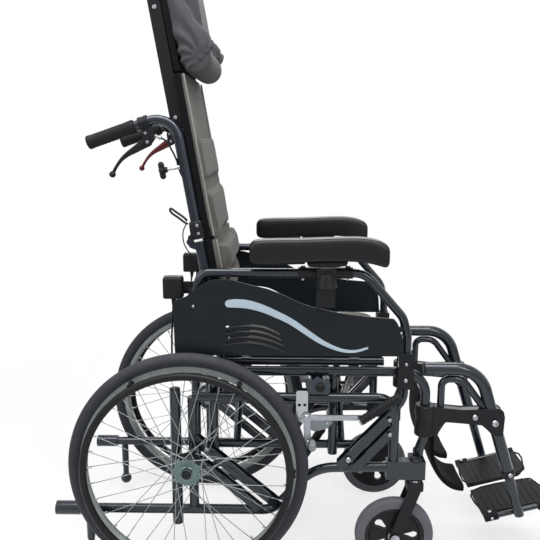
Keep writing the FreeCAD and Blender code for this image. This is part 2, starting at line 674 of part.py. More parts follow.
# Wheel lock: a lever on the clamp's pin, with a shoe that presses on the tyre
def wheel_lock():
    lane0, lane1 = -232.0, -228.0
    px, pz = 300.0, 436.0
    lever = strap((px, pz), (440, 436), 14, lane0, lane1)
    arm = strap((px, pz), (px + 3, pz - 66), 18, lane0, lane1)
    shoe = across(px + 13.5, pz - 68, -262, lane1, 9)
    shoe_arm = strap((px + 3, pz - 66), (px + 13.5, pz - 68), 14, lane0, lane1)
    grip = rod((432, -238, 428), (528, -238, 494), 10)
    body = fuse(lever, arm, shoe, shoe_arm, grip, across(px, pz, lane0, lane1, 13))
    return body.cut(across(px, pz, -240, -220, 5.0 + RUN_FIT))


# Cross brace: two pairs of crossed tubes, each pair welded to a turning tube along one side
def brace(side, xs):
    y_low, y_high = side * BRACE_PLANE, -side * BRACE_PLANE
    z_low, z_high = BRACE_LOW_Z, BRACE_LOW_Z + BRACE_RISE
    parts = [rod((40, y_low, z_low), (444, y_low, z_low), BRACE_R)]
    for x in xs:
        parts.append(rod((x, y_low, z_low), (x, y_high, z_high), BRACE_ARM_R))
        parts.append(rod((x - EYE_HALF, y_high, z_high), (x + EYE_HALF, y_high, z_high), EYE_R))
    shape = fuse(*parts)
    for x in xs:
        shape = shape.cut(rod((x - EYE_HALF - 1, y_high, z_high), (x + EYE_HALF + 1, y_high, z_high),
                              BRACE_R + RUN_FIT))
    return shape


def brace_a():
    z_mid = BRACE_LOW_Z + BRACE_RISE / 2
    step = BRACE_B_X[0] - BRACE_A_X[0]
    pins = [rod((x, 0, z_mid), (x + step + 14, 0, z_mid), 5) for x in BRACE_A_X]
    return fuse(brace(-1, BRACE_A_X), *pins)


def brace_b():
    z_mid = BRACE_LOW_Z + BRACE_RISE / 2
    shape = brace(1, BRACE_B_X)
    for x in BRACE_B_X:
        shape = shape.cut(rod((x - 14, 0, z_mid), (x + 14, 0, z_mid), 5 + RUN_FIT))
    return shape


def sling_rail():
    z = BRACE_LOW_Z + BRACE_RISE
    return rod((82, -BRACE_PLANE, z), (500, -BRACE_PLANE, z), BRACE_R)


# Upholstery as plain closed blocks
def seat_sling():
    z = BRACE_LOW_Z + BRACE_RISE + BRACE_R + GAP
    sheet = box(86, 496, -SLING_HALF, SLING_HALF, z, z + SLING_T)
    for x in BRACE_A_X + BRACE_B_X:
        for y in (-BRACE_PLANE, BRACE_PLANE):
            notch = box(x - EYE_HALF - 1.5, x + EYE_HALF + 1.5, y - 16, y + 16, z - 1, z + SLING_T + 1)
            sheet = sheet.cut(notch)
    return sheet


def seat_cushion():
    z = BRACE_LOW_Z + BRACE_RISE + BRACE_R + GAP + SLING_T + GAP
    return soft(box(130, 520, -160, 160, z, z + 64), 14)


def back_pad(s0, s1, depth):
    rear = CANE_R + GAP
    return soft(back_plate([(rear, s0), (depth, s0), (depth, s1), (rear, s1)], -BACK_HALF, BACK_HALF), 6)


def headrest():
    profile = [(13, 412), (66, 410), (70, 384), (100, 386), (118, 404), (122, 426), (116, 462), (94, 506),
               (92, 560), (94, 612), (80, 640), (30, 645), (13, 640)]
    body = back_plate(profile, -HEAD_HALF, HEAD_HALF)
    return body.makeFillet(8, [e for e in body.Edges if abs(e.tangentAt(e.FirstParameter).y) < 0.1])


SIDE_NODES = {
    "base_frame": base_frame, "anti_tip": anti_tip, "tyre": tyre, "rim": rim, "hub_spokes": hub,
    "handrim": handrim, "caster_fork": caster_fork, "caster_wheel": caster_wheel, "caster_tyre": caster_tyre,
    "seat_frame": seat_frame, "cable_box": cable_box, "gas_cylinder": gas_cylinder, "gas_rod": gas_rod,
    "push_handle": push_handle, "back_extension": back_extension, "handle_fittings": handle_fittings,
    "hand_lever": hand_lever, "arm_frame": arm_frame, "arm_clamp": arm_clamp, "arm_pad": arm_pad,
    "side_panel": side_panel, "hanger": hanger, "footplate": footplate, "calf_strap": calf_strap,
    "wheel_lock": wheel_lock,
}
for name, make in SIDE_NODES.items():
    right = make()
    nodes[name + "_R"] = right
    nodes[name + "_L"] = mirror(right)

nodes["cross_brace_a"] = brace_a()
nodes["cross_brace_b"] = brace_b()
nodes["sling_rail_R"] = sling_rail()
nodes["sling_rail_L"] = mirror(sling_rail())
nodes["seat_sling"] = seat_sling()
nodes["seat_cushion"] = seat_cushion()
nodes["back_pad_lower"] = back_pad(PAD_FOOT, -PAD_SPLIT, LUMBAR_DEPTH)
nodes["back_pad_upper"] = back_pad(PAD_SPLIT, PAD_TOP, PAD_DEPTH)
nodes["headrest"] = headrest()

# The chair stands with the middle of its box over the origin
rear_end = min(shape.BoundBox.XMin for shape in nodes.values())
front_end = max(shape.BoundBox.XMax for shape in nodes.values())
SHIFT = V(-(rear_end + front_end) / 2, 0, 0)

os.makedirs("parts", exist_ok=True)
for name, shape in nodes.items():
    shape.translate(SHIFT)
    shape.exportStep("parts/" + name + ".step")
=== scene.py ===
"""A folding wheelchair whose seat tilts in space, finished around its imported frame. Metres, X forward, Z up."""
import math

import bmesh
import bpy
import numpy as np
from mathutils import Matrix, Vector


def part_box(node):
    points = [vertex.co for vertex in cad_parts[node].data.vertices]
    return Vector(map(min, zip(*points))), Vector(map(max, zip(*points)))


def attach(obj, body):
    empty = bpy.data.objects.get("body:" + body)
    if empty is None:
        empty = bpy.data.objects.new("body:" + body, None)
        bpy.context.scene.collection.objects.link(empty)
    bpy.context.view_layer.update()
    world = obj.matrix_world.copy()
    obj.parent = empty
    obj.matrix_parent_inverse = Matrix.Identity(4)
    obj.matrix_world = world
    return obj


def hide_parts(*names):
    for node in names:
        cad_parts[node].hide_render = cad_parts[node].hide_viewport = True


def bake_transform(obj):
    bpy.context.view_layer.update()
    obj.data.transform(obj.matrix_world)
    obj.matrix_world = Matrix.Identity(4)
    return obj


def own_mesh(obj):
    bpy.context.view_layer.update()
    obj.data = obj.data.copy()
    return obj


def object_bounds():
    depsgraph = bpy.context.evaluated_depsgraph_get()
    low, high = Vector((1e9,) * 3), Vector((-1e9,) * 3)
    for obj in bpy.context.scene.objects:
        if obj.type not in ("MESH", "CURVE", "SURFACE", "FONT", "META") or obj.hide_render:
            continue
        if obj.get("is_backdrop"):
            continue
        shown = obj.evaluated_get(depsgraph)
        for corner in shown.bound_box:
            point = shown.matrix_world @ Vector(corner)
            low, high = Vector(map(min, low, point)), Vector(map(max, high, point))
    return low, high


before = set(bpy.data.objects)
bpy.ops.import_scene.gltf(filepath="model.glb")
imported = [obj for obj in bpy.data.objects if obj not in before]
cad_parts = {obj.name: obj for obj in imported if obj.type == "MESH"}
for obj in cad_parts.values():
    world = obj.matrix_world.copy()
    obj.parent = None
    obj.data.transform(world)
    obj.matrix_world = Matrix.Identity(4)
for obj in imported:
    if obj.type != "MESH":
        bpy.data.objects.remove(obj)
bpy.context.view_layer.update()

# The studio: a white sweep under soft lamps, seen from a standing height beside the chair, a little
# to the front of its rear axle. Every place below is given in millimetres from the floor under that axle.
MM = 0.001
tyre_low, tyre_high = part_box("tyre_R")
AXLE_X = (tyre_low.x + tyre_high.x) / 2
SIDES = (("R", -1), ("L", 1))
CAMERA_PLACE = (238.45, -1867.0, 1127.8)
CAMERA_PITCH = 0.189
CAMERA_YAW = 0.019
CAMERA_LENS = 45.88
FLOOR_HALF = 30.0
FLOOR_SHADE_ENDS = (0.8, 2.2)
FLOOR_WHITE = (0.72, 1.0)
WORLD_LEVEL = 0.52


def at(x, y, z):
    return Vector((AXLE_X + x * MM, y * MM, z * MM))


scene = bpy.context.scene
scene.view_settings.view_transform = "Standard"
camera_data = bpy.data.cameras.new("camera")
camera_data.lens = CAMERA_LENS
camera_data.sensor_width = 36.0
camera = bpy.data.objects.new("camera", camera_data)
camera.location = at(*CAMERA_PLACE)
camera.rotation_euler = (math.pi / 2 - CAMERA_PITCH, 0.0, CAMERA_YAW)
scene.collection.objects.link(camera)
scene.camera = camera


def lamp(name, place, target, size, power, tint):
    data = bpy.data.lights.new(name, "AREA")
    data.shape = "RECTANGLE"
    data.size, data.size_y = size
    data.energy = power
    data.color = tint
    obj = bpy.data.objects.new(name, data)
    obj.location = place
    obj.rotation_euler = (Vector(target) - Vector(place)).to_track_quat("-Z", "Y").to_euler()
    scene.collection.objects.link(obj)


lamp("lamp_overhead", (-0.1, -0.7, 3.0), (0, 0, 0.5), (2.6, 1.2), 84, (0.96, 0.98, 1.0))
lamp("lamp_front_left", (1.7, -2.4, 2.5), (0, 0, 0.7), (0.5, 1.8), 26, (0.94, 0.97, 1.0))
lamp("lamp_rear_left", (-2.2, -2.0, 2.1), (0, 0, 0.7), (0.5, 1.8), 21, (0.94, 0.97, 1.0))
lamp("lamp_far_side", (0.3, 2.8, 2.4), (0, 0, 0.8), (2.2, 0.8), 30, (1.0, 1.0, 1.0))

world = bpy.data.worlds.new("studio")
scene.world = world
world.use_nodes = True
tree = world.node_tree
tree.nodes.clear()
rays = tree.nodes.new("ShaderNodeLightPath")
seen = tree.nodes.new("ShaderNodeMath")
seen.operation = "MAXIMUM"
shown = tree.nodes.new("ShaderNodeMath")
shown.operation = "MAXIMUM"
tree.links.new(rays.outputs["Is Camera Ray"], seen.inputs[0])
tree.links.new(rays.outputs["Is Glossy Ray"], seen.inputs[1])
tree.links.new(seen.outputs[0], shown.inputs[0])
tree.links.new(rays.outputs["Is Transmission Ray"], shown.inputs[1])
fill = tree.nodes.new("ShaderNodeBackground")
fill.inputs["Strength"].default_value = WORLD_LEVEL
white = tree.nodes.new("ShaderNodeBackground")
white.inputs["Color"].default_value = (1, 1, 1, 1)
white.inputs["Strength"].default_value = 1.0
either = tree.nodes.new("ShaderNodeMixShader")
sky = tree.nodes.new("ShaderNodeOutputWorld")
tree.links.new(shown.outputs[0], either.inputs["Fac"])
tree.links.new(fill.outputs[0], either.inputs[1])
tree.links.new(white.outputs[0], either.inputs[2])
tree.links.new(either.outputs[0], sky.inputs["Surface"])

floor_finish = bpy.data.materials.new("studio_floor")
floor_finish.use_nodes = True
tree = floor_finish.node_tree
tree.nodes.clear()
rays = tree.nodes.new("ShaderNodeLightPath")
share = tree.nodes.new("ShaderNodeMath")
share.operation = "MULTIPLY"
place = tree.nodes.new("ShaderNodeTexCoord")
reach = tree.nodes.new("ShaderNodeVectorMath")
reach.operation = "LENGTH"
paling = tree.nodes.new("ShaderNodeMapRange")
paling.inputs["From Min"].default_value, paling.inputs["From Max"].default_value = FLOOR_SHADE_ENDS
paling.inputs["To Min"].default_value, paling.inputs["To Max"].default_value = FLOOR_WHITE
tree.links.new(place.outputs["Object"], reach.inputs[0])
tree.links.new(reach.outputs["Value"], paling.inputs["Value"])
tree.links.new(paling.outputs[0], share.inputs[1])
paint = tree.nodes.new("ShaderNodeBsdfDiffuse")
paint.inputs["Color"].default_value = (0.88, 0.88, 0.88, 1)
glow = tree.nodes.new("ShaderNodeEmission")
glow.inputs["Color"].default_value = (1, 1, 1, 1)
glow.inputs["Strength"].default_value = 1.0
either = tree.nodes.new("ShaderNodeMixShader")
ground = tree.nodes.new("ShaderNodeOutputMaterial")
tree.links.new(rays.outputs["Is Camera Ray"], share.inputs[0])
tree.links.new(share.outputs[0], either.inputs["Fac"])
tree.links.new(paint.outputs[0], either.inputs[1])
tree.links.new(glow.outputs[0], either.inputs[2])
tree.links.new(either.outputs[0], ground.inputs["Surface"])
mesh = bpy.data.meshes.new("studio_floor")
corners = [(-1, -1), (1, -1), (1, 1), (-1, 1)]
mesh.from_pydata([(x * FLOOR_HALF, y * FLOOR_HALF, 0.0) for x, y in corners], [], [(0, 1, 2, 3)])
mesh.materials.append(floor_finish)
studio_floor = bpy.data.objects.new("studio_floor", mesh)
scene.collection.objects.link(studio_floor)
studio_floor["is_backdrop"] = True

# The frame tubes: cold-drawn tube, bent and welded, with a glossy blue-black enamel over them. The groups
# here give every finish of the chair its grain, its rubbed edges, its dust and, on cloth, its weave with painted
# shade in its dips.


def rgb(red, green, blue):
    """A colour as the eye reads it, from 0 to 255 each, in the shader's own linear numbers."""
    parts = []
    for value in (red, green, blue):
        share = value / 255
        parts.append(share / 12.92 if share <= 0.04045 else ((share + 0.055) / 1.055) ** 2.4)
    return (*parts, 1.0)


def shader_group(name, inputs, outputs):
    group = bpy.data.node_groups.new(name, "ShaderNodeTree")
    for label, value in inputs:
        socket = group.interface.new_socket(name=label, in_out="INPUT", socket_type="NodeSocketFloat")
        socket.default_value = value
    for label in outputs:
        group.interface.new_socket(name=label, in_out="OUTPUT", socket_type="NodeSocketFloat")
    return group, group.nodes.new("NodeGroupInput"), group.nodes.new("NodeGroupOutput")


def sums(tree, operation, first, second=None):
    """A Math node on two values, each a socket or a plain number."""
    node = tree.nodes.new("ShaderNodeMath")
    node.operation = operation
    for place, value in enumerate((first, second)):
        if value is None:
            continue
        if isinstance(value, (int, float)):
            node.inputs[place].default_value = value
        else:
            tree.links.new(value, node.inputs[place])
    return node.outputs[0]


def between(tree, value, low, high):
    """The value's share of the way from low to high, held to 0 and 1."""
    node = tree.nodes.new("ShaderNodeMapRange")
    node.inputs["From Min"].default_value = low
    node.inputs["From Max"].default_value = high
    tree.links.new(value, node.inputs["Value"])
    return node.outputs[0]


def speckle(tree, scale, detail=3.0):
    coords = tree.nodes.new("ShaderNodeTexCoord")
    node = tree.nodes.new("ShaderNodeTexNoise")
    node.inputs["Detail"].default_value = detail
    tree.links.new(coords.outputs["Object"], node.inputs["Vector"])
    if isinstance(scale, (int, float)):
        node.inputs["Scale"].default_value = scale
    else:
        tree.links.new(scale, node.inputs["Scale"])
    return node.outputs[0]


grain_group, given, made = shader_group("grain", [("Scale", 900.0)], ["Height", "Mottle"])
grain_group.links.new(speckle(grain_group, given.outputs["Scale"], 4.0), made.inputs["Height"])
broad = speckle(grain_group, sums(grain_group, "MULTIPLY", given.outputs["Scale"], 0.02), 5.0)
grain_group.links.new(sums(grain_group, "SUBTRACT", broad, 0.5), made.inputs["Mottle"])

wear_group, given, made = shader_group("edge_wear", [("Amount", 0.3)], ["Mask"])
shape = wear_group.nodes.new("ShaderNodeNewGeometry")
edges = between(wear_group, shape.outputs["Pointiness"], 0.53, 0.62)
broken = between(wear_group, speckle(wear_group, 160.0, 6.0), 0.42, 0.62)
rubbed = sums(wear_group, "MULTIPLY", edges, broken)
wear_group.links.new(sums(wear_group, "MULTIPLY", rubbed, given.outputs["Amount"]), made.inputs["Mask"])

dust_group, given, made = shader_group("settled_dust", [("Amount", 0.1)], ["Mask"])
shape = dust_group.nodes.new("ShaderNodeNewGeometry")
split = dust_group.nodes.new("ShaderNodeSeparateXYZ")
dust_group.links.new(shape.outputs["Normal"], split.inputs[0])
upward = between(dust_group, split.outputs["Z"], 0.2, 1.0)
patchy = between(dust_group, speckle(dust_group, 24.0, 6.0), 0.3, 0.75)
lying = sums(dust_group, "MULTIPLY", upward, patchy)
dust_group.links.new(sums(dust_group, "MULTIPLY", lying, given.outputs["Amount"]), made.inputs["Mask"])

# The weave gives a thread height for the bump and a Shade mask. The mask is the height times random noise, so it is
# low in the dips between threads (painted shade) and low at random (uneven tone).
weave_group, given, made = shader_group("weave", [("Threads", 900.0)], ["Height", "Shade"])
coords = weave_group.nodes.new("ShaderNodeTexCoord")
split = weave_group.nodes.new("ShaderNodeSeparateXYZ")
weave_group.links.new(coords.outputs["Object"], split.inputs[0])
turns = sums(weave_group, "MULTIPLY", given.outputs["Threads"], math.pi)
across_y = sums(weave_group, "SINE", sums(weave_group, "MULTIPLY", split.outputs["Y"], turns))
slant = sums(weave_group, "ADD", split.outputs["X"], split.outputs["Z"])
back_slant = sums(weave_group, "SUBTRACT", split.outputs["X"], split.outputs["Z"])
warp = sums(weave_group, "SINE", sums(weave_group, "MULTIPLY", slant, turns))
weft = sums(weave_group, "SINE", sums(weave_group, "MULTIPLY", back_slant, turns))
crossing = sums(weave_group, "ADD", sums(weave_group, "MULTIPLY", across_y, warp),
                sums(weave_group, "MULTIPLY", warp, weft))
thread = sums(weave_group, "ADD", sums(weave_group, "MULTIPLY", crossing, 0.25), 0.5)
weave_group.links.new(thread, made.inputs["Height"])
# Shade mask: painted shade in the weave's dips, mixed with random unevenness.
uneven = speckle(weave_group, 420.0, 2.0)
weave_group.links.new(sums(weave_group, "MULTIPLY", thread, uneven), made.inputs["Shade"])


def surface(name, colour, roughness, metallic=0.0, grain=900.0, relief=0.12, mottle=0.1, wear=0.0,
            worn=(120, 122, 124), dust=0.05, coat=0.0, threads=0.0, sheen=0.0, gloss=0.5):
    """A finish of one colour, with its grain or weave, rubbed edges and settled dust; on cloth, painted shade
    darkens the dips between threads.
    """
    finish = bpy.data.materials.new(name)
    finish.use_nodes = True
    tree = finish.node_tree
    shader = tree.nodes["Principled BSDF"]
    shader.inputs["Metallic"].default_value = metallic
    shader.inputs["Coat Weight"].default_value = coat
    shader.inputs["Coat Roughness"].default_value = 0.12
    shader.inputs["Sheen Weight"].default_value = sheen
    shader.inputs["Sheen Roughness"].default_value = 0.4
    shader.inputs["Specular IOR Level"].default_value = gloss

    def placed(group, label, value):
        node = tree.nodes.new("ShaderNodeGroup")
        node.node_tree = group
        node.inputs[label].default_value = value
        return node

    def blended(share, first, second):
        node = tree.nodes.new("ShaderNodeMix")
        node.data_type = "RGBA"
        tree.links.new(share, node.inputs[0])
        for place, value in ((6, first), (7, second)):
            if isinstance(value, tuple):
                node.inputs[place].default_value = value
            else:
                tree.links.new(value, node.inputs[place])
        return node.outputs[2]

    base = rgb(*colour)
    dark = tuple(c * (1 - 2.2 * mottle) for c in base[:3]) + (1.0,)
    light = tuple(c * (1 + 2.2 * mottle) for c in base[:3]) + (1.0,)
    spots = placed(grain_group, "Scale", grain)
    paint = blended(sums(tree, "ADD", spots.outputs["Mottle"], 0.5), dark, light)
    height = spots.outputs["Height"]
    if threads:
        cloth = placed(weave_group, "Threads", threads)
        # On cloth the colour falls to 62 percent where the weave's Shade mask is low: painted shade in the dips
        # between threads, plus some random unevenness.
        deep = tuple(c * 0.62 for c in base[:3]) + (1.0,)
        paint = blended(between(tree, cloth.outputs["Shade"], 0.05, 0.32), deep, paint)
        height = cloth.outputs["Height"]
    rubbed = placed(wear_group, "Amount", wear)
    paint = blended(rubbed.outputs["Mask"], paint, rgb(*worn))
    lying = placed(dust_group, "Amount", dust)
    paint = blended(lying.outputs["Mask"], paint, rgb(150, 148, 142))
    tree.links.new(paint, shader.inputs["Base Color"])
    rough = sums(tree, "ADD", sums(tree, "MULTIPLY", spots.outputs["Mottle"], 0.1), roughness)
    tree.links.new(sums(tree, "ADD", rough, sums(tree, "MULTIPLY", lying.outputs["Mask"], 0.3)),
                   shader.inputs["Roughness"])
    bump = tree.nodes.new("ShaderNodeBump")
    bump.inputs["Strength"].default_value = relief
    bump.inputs["Distance"].default_value = 0.0006
    tree.links.new(height, bump.inputs["Height"])
    tree.links.new(bump.outputs["Normal"], shader.inputs["Normal"])
    return finish


def dress(finish, slot, *names):
    """Gives the frame's own nodes their finish."""
    for name in names:
        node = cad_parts[name]
        node.data.materials.clear()
        node.data.materials.append(finish)
        node.data.shade_smooth()
        node.data.set_sharp_from_angle(angle=math.radians(32))


def both(name):
    return [name + "_" + side for side, way in SIDES]


enamel = surface("enamel", (18, 26, 36), 0.26, metallic=0.3, grain=1400, relief=0.03, mottle=0.04,
                 wear=0.04, worn=(84, 92, 106), dust=0.01, coat=0.6, gloss=0.3)
black_powder = surface("black_powder_coat", (19, 19, 22), 0.4, grain=1800, relief=0.06, mottle=0.02,
                       dust=0.01, gloss=0.2)
dress(enamel, "frame_metal", *both("base_frame"), *both("seat_frame"), *both("push_handle"),
      *both("arm_frame"), *both("hanger"), *both("anti_tip"), *both("sling_rail"),
      "cross_brace_a", "cross_brace_b")
dress(black_powder, "handrim", *both("back_extension"), *both("gas_cylinder"))


def add_piece(name, shape, finish, body, sharp=35, bevel=0.0, smooth=0):
    """Puts a shape of points and faces into the scene as a piece that moves with a body."""
    points, faces = shape
    mesh = bpy.data.meshes.new(name)
    mesh.from_pydata([tuple(p) for p in points], [], faces)
    work = bmesh.new()
    work.from_mesh(mesh)
    bmesh.ops.recalc_face_normals(work, faces=work.faces)
    work.to_mesh(mesh)
    work.free()
    mesh.materials.append(finish)
    mesh.shade_smooth()
    mesh.set_sharp_from_angle(angle=math.radians(sharp))
    piece = bpy.data.objects.new(name, mesh)
    scene.collection.objects.link(piece)
    if bevel:
        rounding = piece.modifiers.new("rounding", "BEVEL")
        rounding.width = bevel * MM
        rounding.segments = 3
        rounding.limit_method = "ANGLE"
        rounding.harden_normals = True
    if smooth:
        finer = piece.modifiers.new("finer", "SUBSURF")
        finer.levels = finer.render_levels = smooth
    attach(piece, body)
    return piece


def joined(*shapes):
    points, faces = [], []
    for more, their_faces in shapes:
        first = len(points)
        points += more
        faces += [tuple(i + first for i in face) for face in their_faces]
    return points, faces


def rings_between(rings, loop=False, caps=True):
    """A skin over rings of points, each ring with as many points as the next."""
    count = len(rings[0])
    points = [p for ring in rings for p in ring]
    faces = []
    spans = len(rings) if loop else len(rings) - 1
    for i in range(spans):
        here, there = i * count, (i + 1) % len(rings) * count
        for k in range(count):
            nxt = (k + 1) % count
            faces.append((here + k, here + nxt, there + nxt, there + k))
    if caps and not loop:
        faces.append(tuple(range(count))[::-1])
        faces.append(tuple((len(rings) - 1) * count + k for k in range(count)))
    return points, faces


def turned(profile, centre, axis, steps=32, ring=False):
    """A turned shape from (radius, place along the axis) in millimetres, about a centre in metres."""
    axis = Vector(axis).normalized()
    side = axis.orthogonal().normalized()
    other = axis.cross(side)
    rings = []
    for radius, along in profile:
        middle = centre + axis * along * MM
        rings.append([middle + (side * math.cos(a) + other * math.sin(a)) * max(radius, 0.01) * MM
                      for a in (2 * math.pi * k / steps for k in range(steps))])
    return rings_between(rings, loop=ring)


def through(points, spans=6):
    """A smooth line through the points."""
    ends = [points[0]] + list(points) + [points[-1]]
    line = []
    for i in range(1, len(ends) - 2):
        p0, p1, p2, p3 = (Vector(p) for p in ends[i - 1:i + 3])
        for k in range(spans):
            t = k / spans
            line.append(0.5 * (2 * p1 + (p2 - p0) * t + (2 * p0 - 5 * p1 + 4 * p2 - p3) * t * t
                               + (3 * p1 - p0 - 3 * p2 + p3) * t ** 3))
    line.append(Vector(points[-1]))
    return line


def pipe(line, radius, steps=12, loop=False):
    """A round rod along points in metres. The radius is a number or one for each point, in millimetres."""
    count = len(line)
    rings = []
    side = None
    for i, point in enumerate(line):
        before = line[i - 1] if i or loop else line[0]
        after = line[(i + 1) % count] if i < count - 1 or loop else line[-1]
        ahead = (after - before).normalized()
        side = ahead.orthogonal() if side is None else side - ahead * side.dot(ahead)
        side.normalize()
        other = ahead.cross(side)
        wide = (radius[i] if isinstance(radius, (list, tuple)) else radius) * MM
        rings.append([point + (side * math.cos(a) + other * math.sin(a)) * wide
                      for a in (2 * math.pi * k / steps for k in range(steps))])
    return rings_between(rings, loop=loop)


def capsule(start, end, radius, steps=16):
    """A rod with round ends between two points in metres."""
    line, widths = [], []
    ahead = (end - start).normalized()
    for k in range(6):
        a = math.pi / 2 * k / 5
        line.append(start - ahead * radius * MM * math.cos(a))
        widths.append(max(0.02, radius * math.sin(a)))
    for k in range(6):
        a = math.pi / 2 * (1 - k / 5)
        line.append(end + ahead * radius * MM * math.cos(a))
        widths.append(max(0.02, radius * math.sin(a)))
    return pipe(line, widths, steps)


def sheet_shape(outline, holes, y0, y1):
    """A flat plate across the chair, cut to an outline of (x, z) with holes in it."""
    work = bmesh.new()
    for loop in [outline] + holes:
        corners = [work.verts.new(at(x, y0, z)) for x, z in loop]
        for i, corner in enumerate(corners):
            work.edges.new((corner, corners[(i + 1) % len(corners)]))
    bmesh.ops.triangle_fill(work, use_beauty=True, use_dissolve=True, edges=work.edges[:])
    grown = bmesh.ops.extrude_face_region(work, geom=work.faces[:])
    moved = [item for item in grown["geom"] if isinstance(item, bmesh.types.BMVert)]
    bmesh.ops.translate(work, verts=moved, vec=(0, (y1 - y0) * MM, 0))
    work.verts.index_update()
    points = [v.co.copy() for v in work.verts]
    faces = [tuple(v.index for v in f.verts) for f in work.faces]
    work.free()
    return points, faces


def screw(place, out, radius, height=None):
    """A button-head screw with a round socket, standing on a surface."""
    height = height or radius * 0.6
    head = turned([(radius, 0), (radius, height * 0.45), (radius * 0.8, height * 0.9),
                   (radius * 0.5, height), (radius * 0.46, height * 0.35), (0, height * 0.35)],
                  place, out, 24)
    return head


# Weld beads, end plugs and strut bolts on the frame: each joint of two tubes has a rippled bead,
# each open tube end a black plug, and the strap struts are bolted through the lower tube and the post.
BASE_Y, SEAT_Y, BRACE_Y = 205.0, 178.0, 154.0
WELD_R = 1.2
zinc = surface("zinc_plate", (168, 170, 174), 0.28, metallic=1.0, grain=2600, relief=0.06, mottle=0.05,
               dust=0.03)
black_plastic = surface("moulded_black", (19, 20, 22), 0.42, grain=2200, relief=0.25, mottle=0.05,
                        wear=0.1, worn=(64, 66, 70), dust=0.03, gloss=0.2)


def bead(centre, axis, radius):
    """A weld bead round a tube, with the ripple of its passes."""
    axis = Vector(axis).normalized()
    side = axis.orthogonal().normalized()
    other = axis.cross(side)
    count = 60
    line, widths = [], []
    for k in range(count):
        a = 2 * math.pi * k / count
        line.append(centre + (side * math.cos(a) + other * math.sin(a)) * radius * MM)
        widths.append(WELD_R * (1 + 0.18 * math.sin(20 * a)))
    return pipe(line, widths, 8, loop=True)


for side, way in SIDES:
    y = way * BASE_Y
    beads = [bead(at(8, y, 467.5), (0, 0, 1), 12.4), bead(at(-36, y, 176), (0, 0, 1), 14.4),
             bead(at(525, y, 311.5), (0, 0, 1), 12.6), bead(at(8, y, 180.5), (0, 0, 1), 12.6),
             bead(at(509, y, 292), (1, 0, 0), 13.0)]
    add_piece("base_welds_" + side, joined(*beads), enamel, "base_" + side)
    y = way * SEAT_Y
    beads = [bead(at(x, y, 528.5), (0, 0, 1), 13.0) for x in (60, 370)]
    beads.append(bead(at(30, y, 741), (-0.168, 0, 0.986), 13.0))
    add_piece("seat_welds_" + side, joined(*beads), enamel, "seat_" + side)
    plug = [(11.5, -3), (13.4, 0), (13.2, 2.2), (9, 3.6), (0, 4)]
    small_plug = [(10.5, -3), (12.5, 0), (12.2, 2), (8, 3.2), (0, 3.5)]
    y = way * BASE_Y
    plugs = joined(turned(plug, at(-36, y, 500), (0, 0, 1)), turned(plug, at(-36, y, 132), (0, 0, -1)))
    add_piece("post_plugs_" + side, plugs, black_plastic, "base_" + side)
    y = way * SEAT_Y
    add_piece("rail_plug_" + side, turned(small_plug, at(-55, y, 541), (-1, 0, 0)), black_plastic,
              "seat_" + side)
    out = (0, way, 0)
    face = way * (BASE_Y + 16.5)
    bolts = [screw(at(408, face, 318), out, 7), screw(at(45, face, 342), out, 6.5)]
    bolts += [screw(at(510, way * 222.4, 428), out, 5.5), screw(at(512, way * 222.4, 388), out, 5.5)]
    bolts.append(screw(at(327, way * 215, 516), out, 9.5, 4))
    add_piece("frame_bolts_" + side, joined(*bolts), zinc, "base_" + side)

# Rear wheels: a solid grey-black tyre with fine tread on a satin channel rim, 36 bright spokes laced to
# a chromed hub, and a black powder-coated hand rim on six stand-offs.
WHEEL_Y, WHEEL_R, TYRE_R = 250.0, 305.0, 17.5
RIM_EDGE_R = 274.0
tyre_rubber = surface("tyre_rubber", (50, 51, 56), 0.6, grain=1300, relief=0.35, mottle=0.08, dust=0.08,
                      gloss=0.15)
rim_grey = surface("satin_rim", (128, 134, 132), 0.42, metallic=0.2, grain=1500, relief=0.05, wear=0.1,
                   worn=(180, 184, 184), dust=0.06, gloss=0.3)
hub_alloy = surface("hub_alloy", (92, 110, 108), 0.24, metallic=0.85, grain=1500, relief=0.05, wear=0.2,
                    worn=(190, 198, 198), dust=0.04)
chrome = surface("bright_spokes", (150, 154, 154), 0.2, metallic=1.0, grain=2500, relief=0.03,
                 mottle=0.04, dust=0.02)
dress(rim_grey, "rim_plastic", *both("rim"))
dress(chrome, "spokes", *both("hub_spokes"))
dress(black_powder, "handrim", *both("handrim"))


def tread(centre_y, steps=288, around=44):
    """The tyre's skin: ribs round it, and short cuts on its shoulders."""
    half_turn = math.radians(141)
    rings = []
    for i in range(steps):
        turn = 2 * math.pi * i / steps
        cut = 0.8 if i % 4 == 0 else 0.0
        ring = []
        for k in range(around + 1):
            t = -half_turn + 2 * half_turn * k / around
            depth = 0.0
            for groove in (-26, -9, 9, 26):
                depth = max(depth, 1.1 * max(0.0, 1 - abs(math.degrees(t) - groove) / 5))
            if 30 < abs(math.degrees(t)) < 58:
                depth = max(depth, cut)
            r = TYRE_R - depth
            out = WHEEL_R - TYRE_R + r * math.cos(t)
            ring.append(at(out * math.sin(turn), centre_y + r * math.sin(t), WHEEL_R + out * math.cos(turn)))
        rings.append(ring)
    return rings_between(rings, loop=True)


